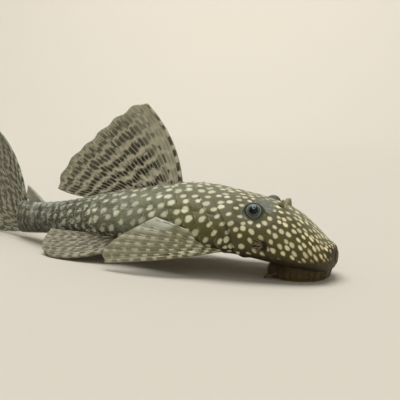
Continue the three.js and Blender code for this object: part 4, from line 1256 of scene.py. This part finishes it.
class PLECO_OT_stage(bpy.types.Operator):
    """Make the floor, the lights and the camera"""
    bl_idname = "pleco.stage"
    bl_label = "Stage"

    def execute(self, context):
        scene = context.scene
        stage = scene.pleco_stage
        # A round floor that sweeps up far away from the fish on every side, in metres
        flat, sweep = 1.2, 0.9
        u, v = np.meshgrid(*[np.linspace(-2.6, 2.6, 81)] * 2, indexing="ij")
        away = np.maximum(np.hypot(u, v), TINY)
        bend = np.clip((away - flat) / sweep, 0, math.pi / 2)
        wall = np.maximum(away - flat - sweep * math.pi / 2, 0)
        share = (np.minimum(away, flat) + sweep * np.sin(bend)) / away
        places = np.stack([u * share, v * share, sweep * (1 - np.cos(bend)) + wall], -1)
        floor = show("floor", grid_mesh(places, {}, closed=False))
        # Matt wall paint: pale and even, with no gloss to draw the eye from the fish
        material, add = new_material("matt_floor_paint")
        finish_surface(add, stage.floor, {"Roughness": 0.9})
        floor.data.materials.append(material)

        aim = Vector((-26.2, 10, 16)) * MM
        turn = Matrix.Rotation(stage.azimuth, 3, "Z") @ Matrix.Rotation(math.pi / 2 - stage.elevation, 3, "X")
        turn = turn @ Matrix.Rotation(-stage.roll, 3, "Z")
        lens = bpy.data.cameras.new("camera")
        lens.lens = stage.lens
        lens.clip_start = 5 * MM
        scene.camera = show("camera", lens)
        back = turn.col[2] * stage.distance
        scene.camera.matrix_world = Matrix.Translation(aim + back) @ turn.to_4x4()

        for name, watts, size, where, target in (
                ("key", stage.key, 1.3, (-0.25, 0.15, 1.6), aim),
                ("fill", stage.fill, 0.9, (0.45, -0.6, 0.45), aim),
                ("backdrop", stage.backdrop, 1.5, (-0.4, 1.5, 1.3), (-0.6, 2.2, 0.2))):
            lamp = bpy.data.lights.new(name, "AREA")
            lamp.energy = watts
            lamp.shape = "DISK"
            lamp.size = size
            from_target = Vector(where) - Vector(target)
            show(name, lamp).matrix_world = Matrix.Translation(where) @ turned_to(from_target)
        scene.world = bpy.data.worlds.new("studio")
        scene.world.use_nodes = True
        sky = scene.world.node_tree.nodes["Background"].inputs
        sky["Color"].default_value = linear("#e6e8e6")
        sky["Strength"].default_value = 0.35
        scene.view_settings.view_transform = "Standard"
        return {"FINISHED"}


PIECES = (PLECO_OT_skin, PLECO_OT_eyes, PLECO_OT_mouth, PLECO_OT_median_fins, PLECO_OT_paired_fins,
          PLECO_OT_nostril_flaps, PLECO_OT_cheek_spines, PLECO_OT_snout_bristles, PLECO_OT_prickles,
          PLECO_OT_stage)


class PLECO_PT_panel(bpy.types.Panel):
    """The sizes, colours and pieces of the fish"""
    bl_idname = "PLECO_PT_panel"
    bl_label = "Bristlenose pleco"
    bl_space_type = "VIEW_3D"
    bl_region_type = "UI"
    bl_category = "Pleco"

    def draw(self, context):
        for group in (context.scene.pleco_sizes, context.scene.pleco_colours, context.scene.pleco_stage):
            box = self.layout.box()
            for key in group.__annotations__:
                box.prop(group, key)
        for piece in PIECES:
            self.layout.operator(piece.bl_idname)


CLASSES = (PlecoSizes, PlecoColours, PlecoStage, *PIECES, PLECO_PT_panel)


def register():
    for cls in CLASSES:
        bpy.utils.register_class(cls)
    bpy.types.Scene.pleco_sizes = bpy.props.PointerProperty(type=PlecoSizes)
    bpy.types.Scene.pleco_colours = bpy.props.PointerProperty(type=PlecoColours)
    bpy.types.Scene.pleco_stage = bpy.props.PointerProperty(type=PlecoStage)


def unregister():
    del bpy.types.Scene.pleco_stage
    del bpy.types.Scene.pleco_colours
    del bpy.types.Scene.pleco_sizes
    for cls in reversed(CLASSES):
        bpy.utils.unregister_class(cls)


def main():
    register()
    for piece in PIECES:
        group, name = piece.bl_idname.split(".")
        getattr(getattr(bpy.ops, group), name)()
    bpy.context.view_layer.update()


if __name__ == "__main__":
    main()
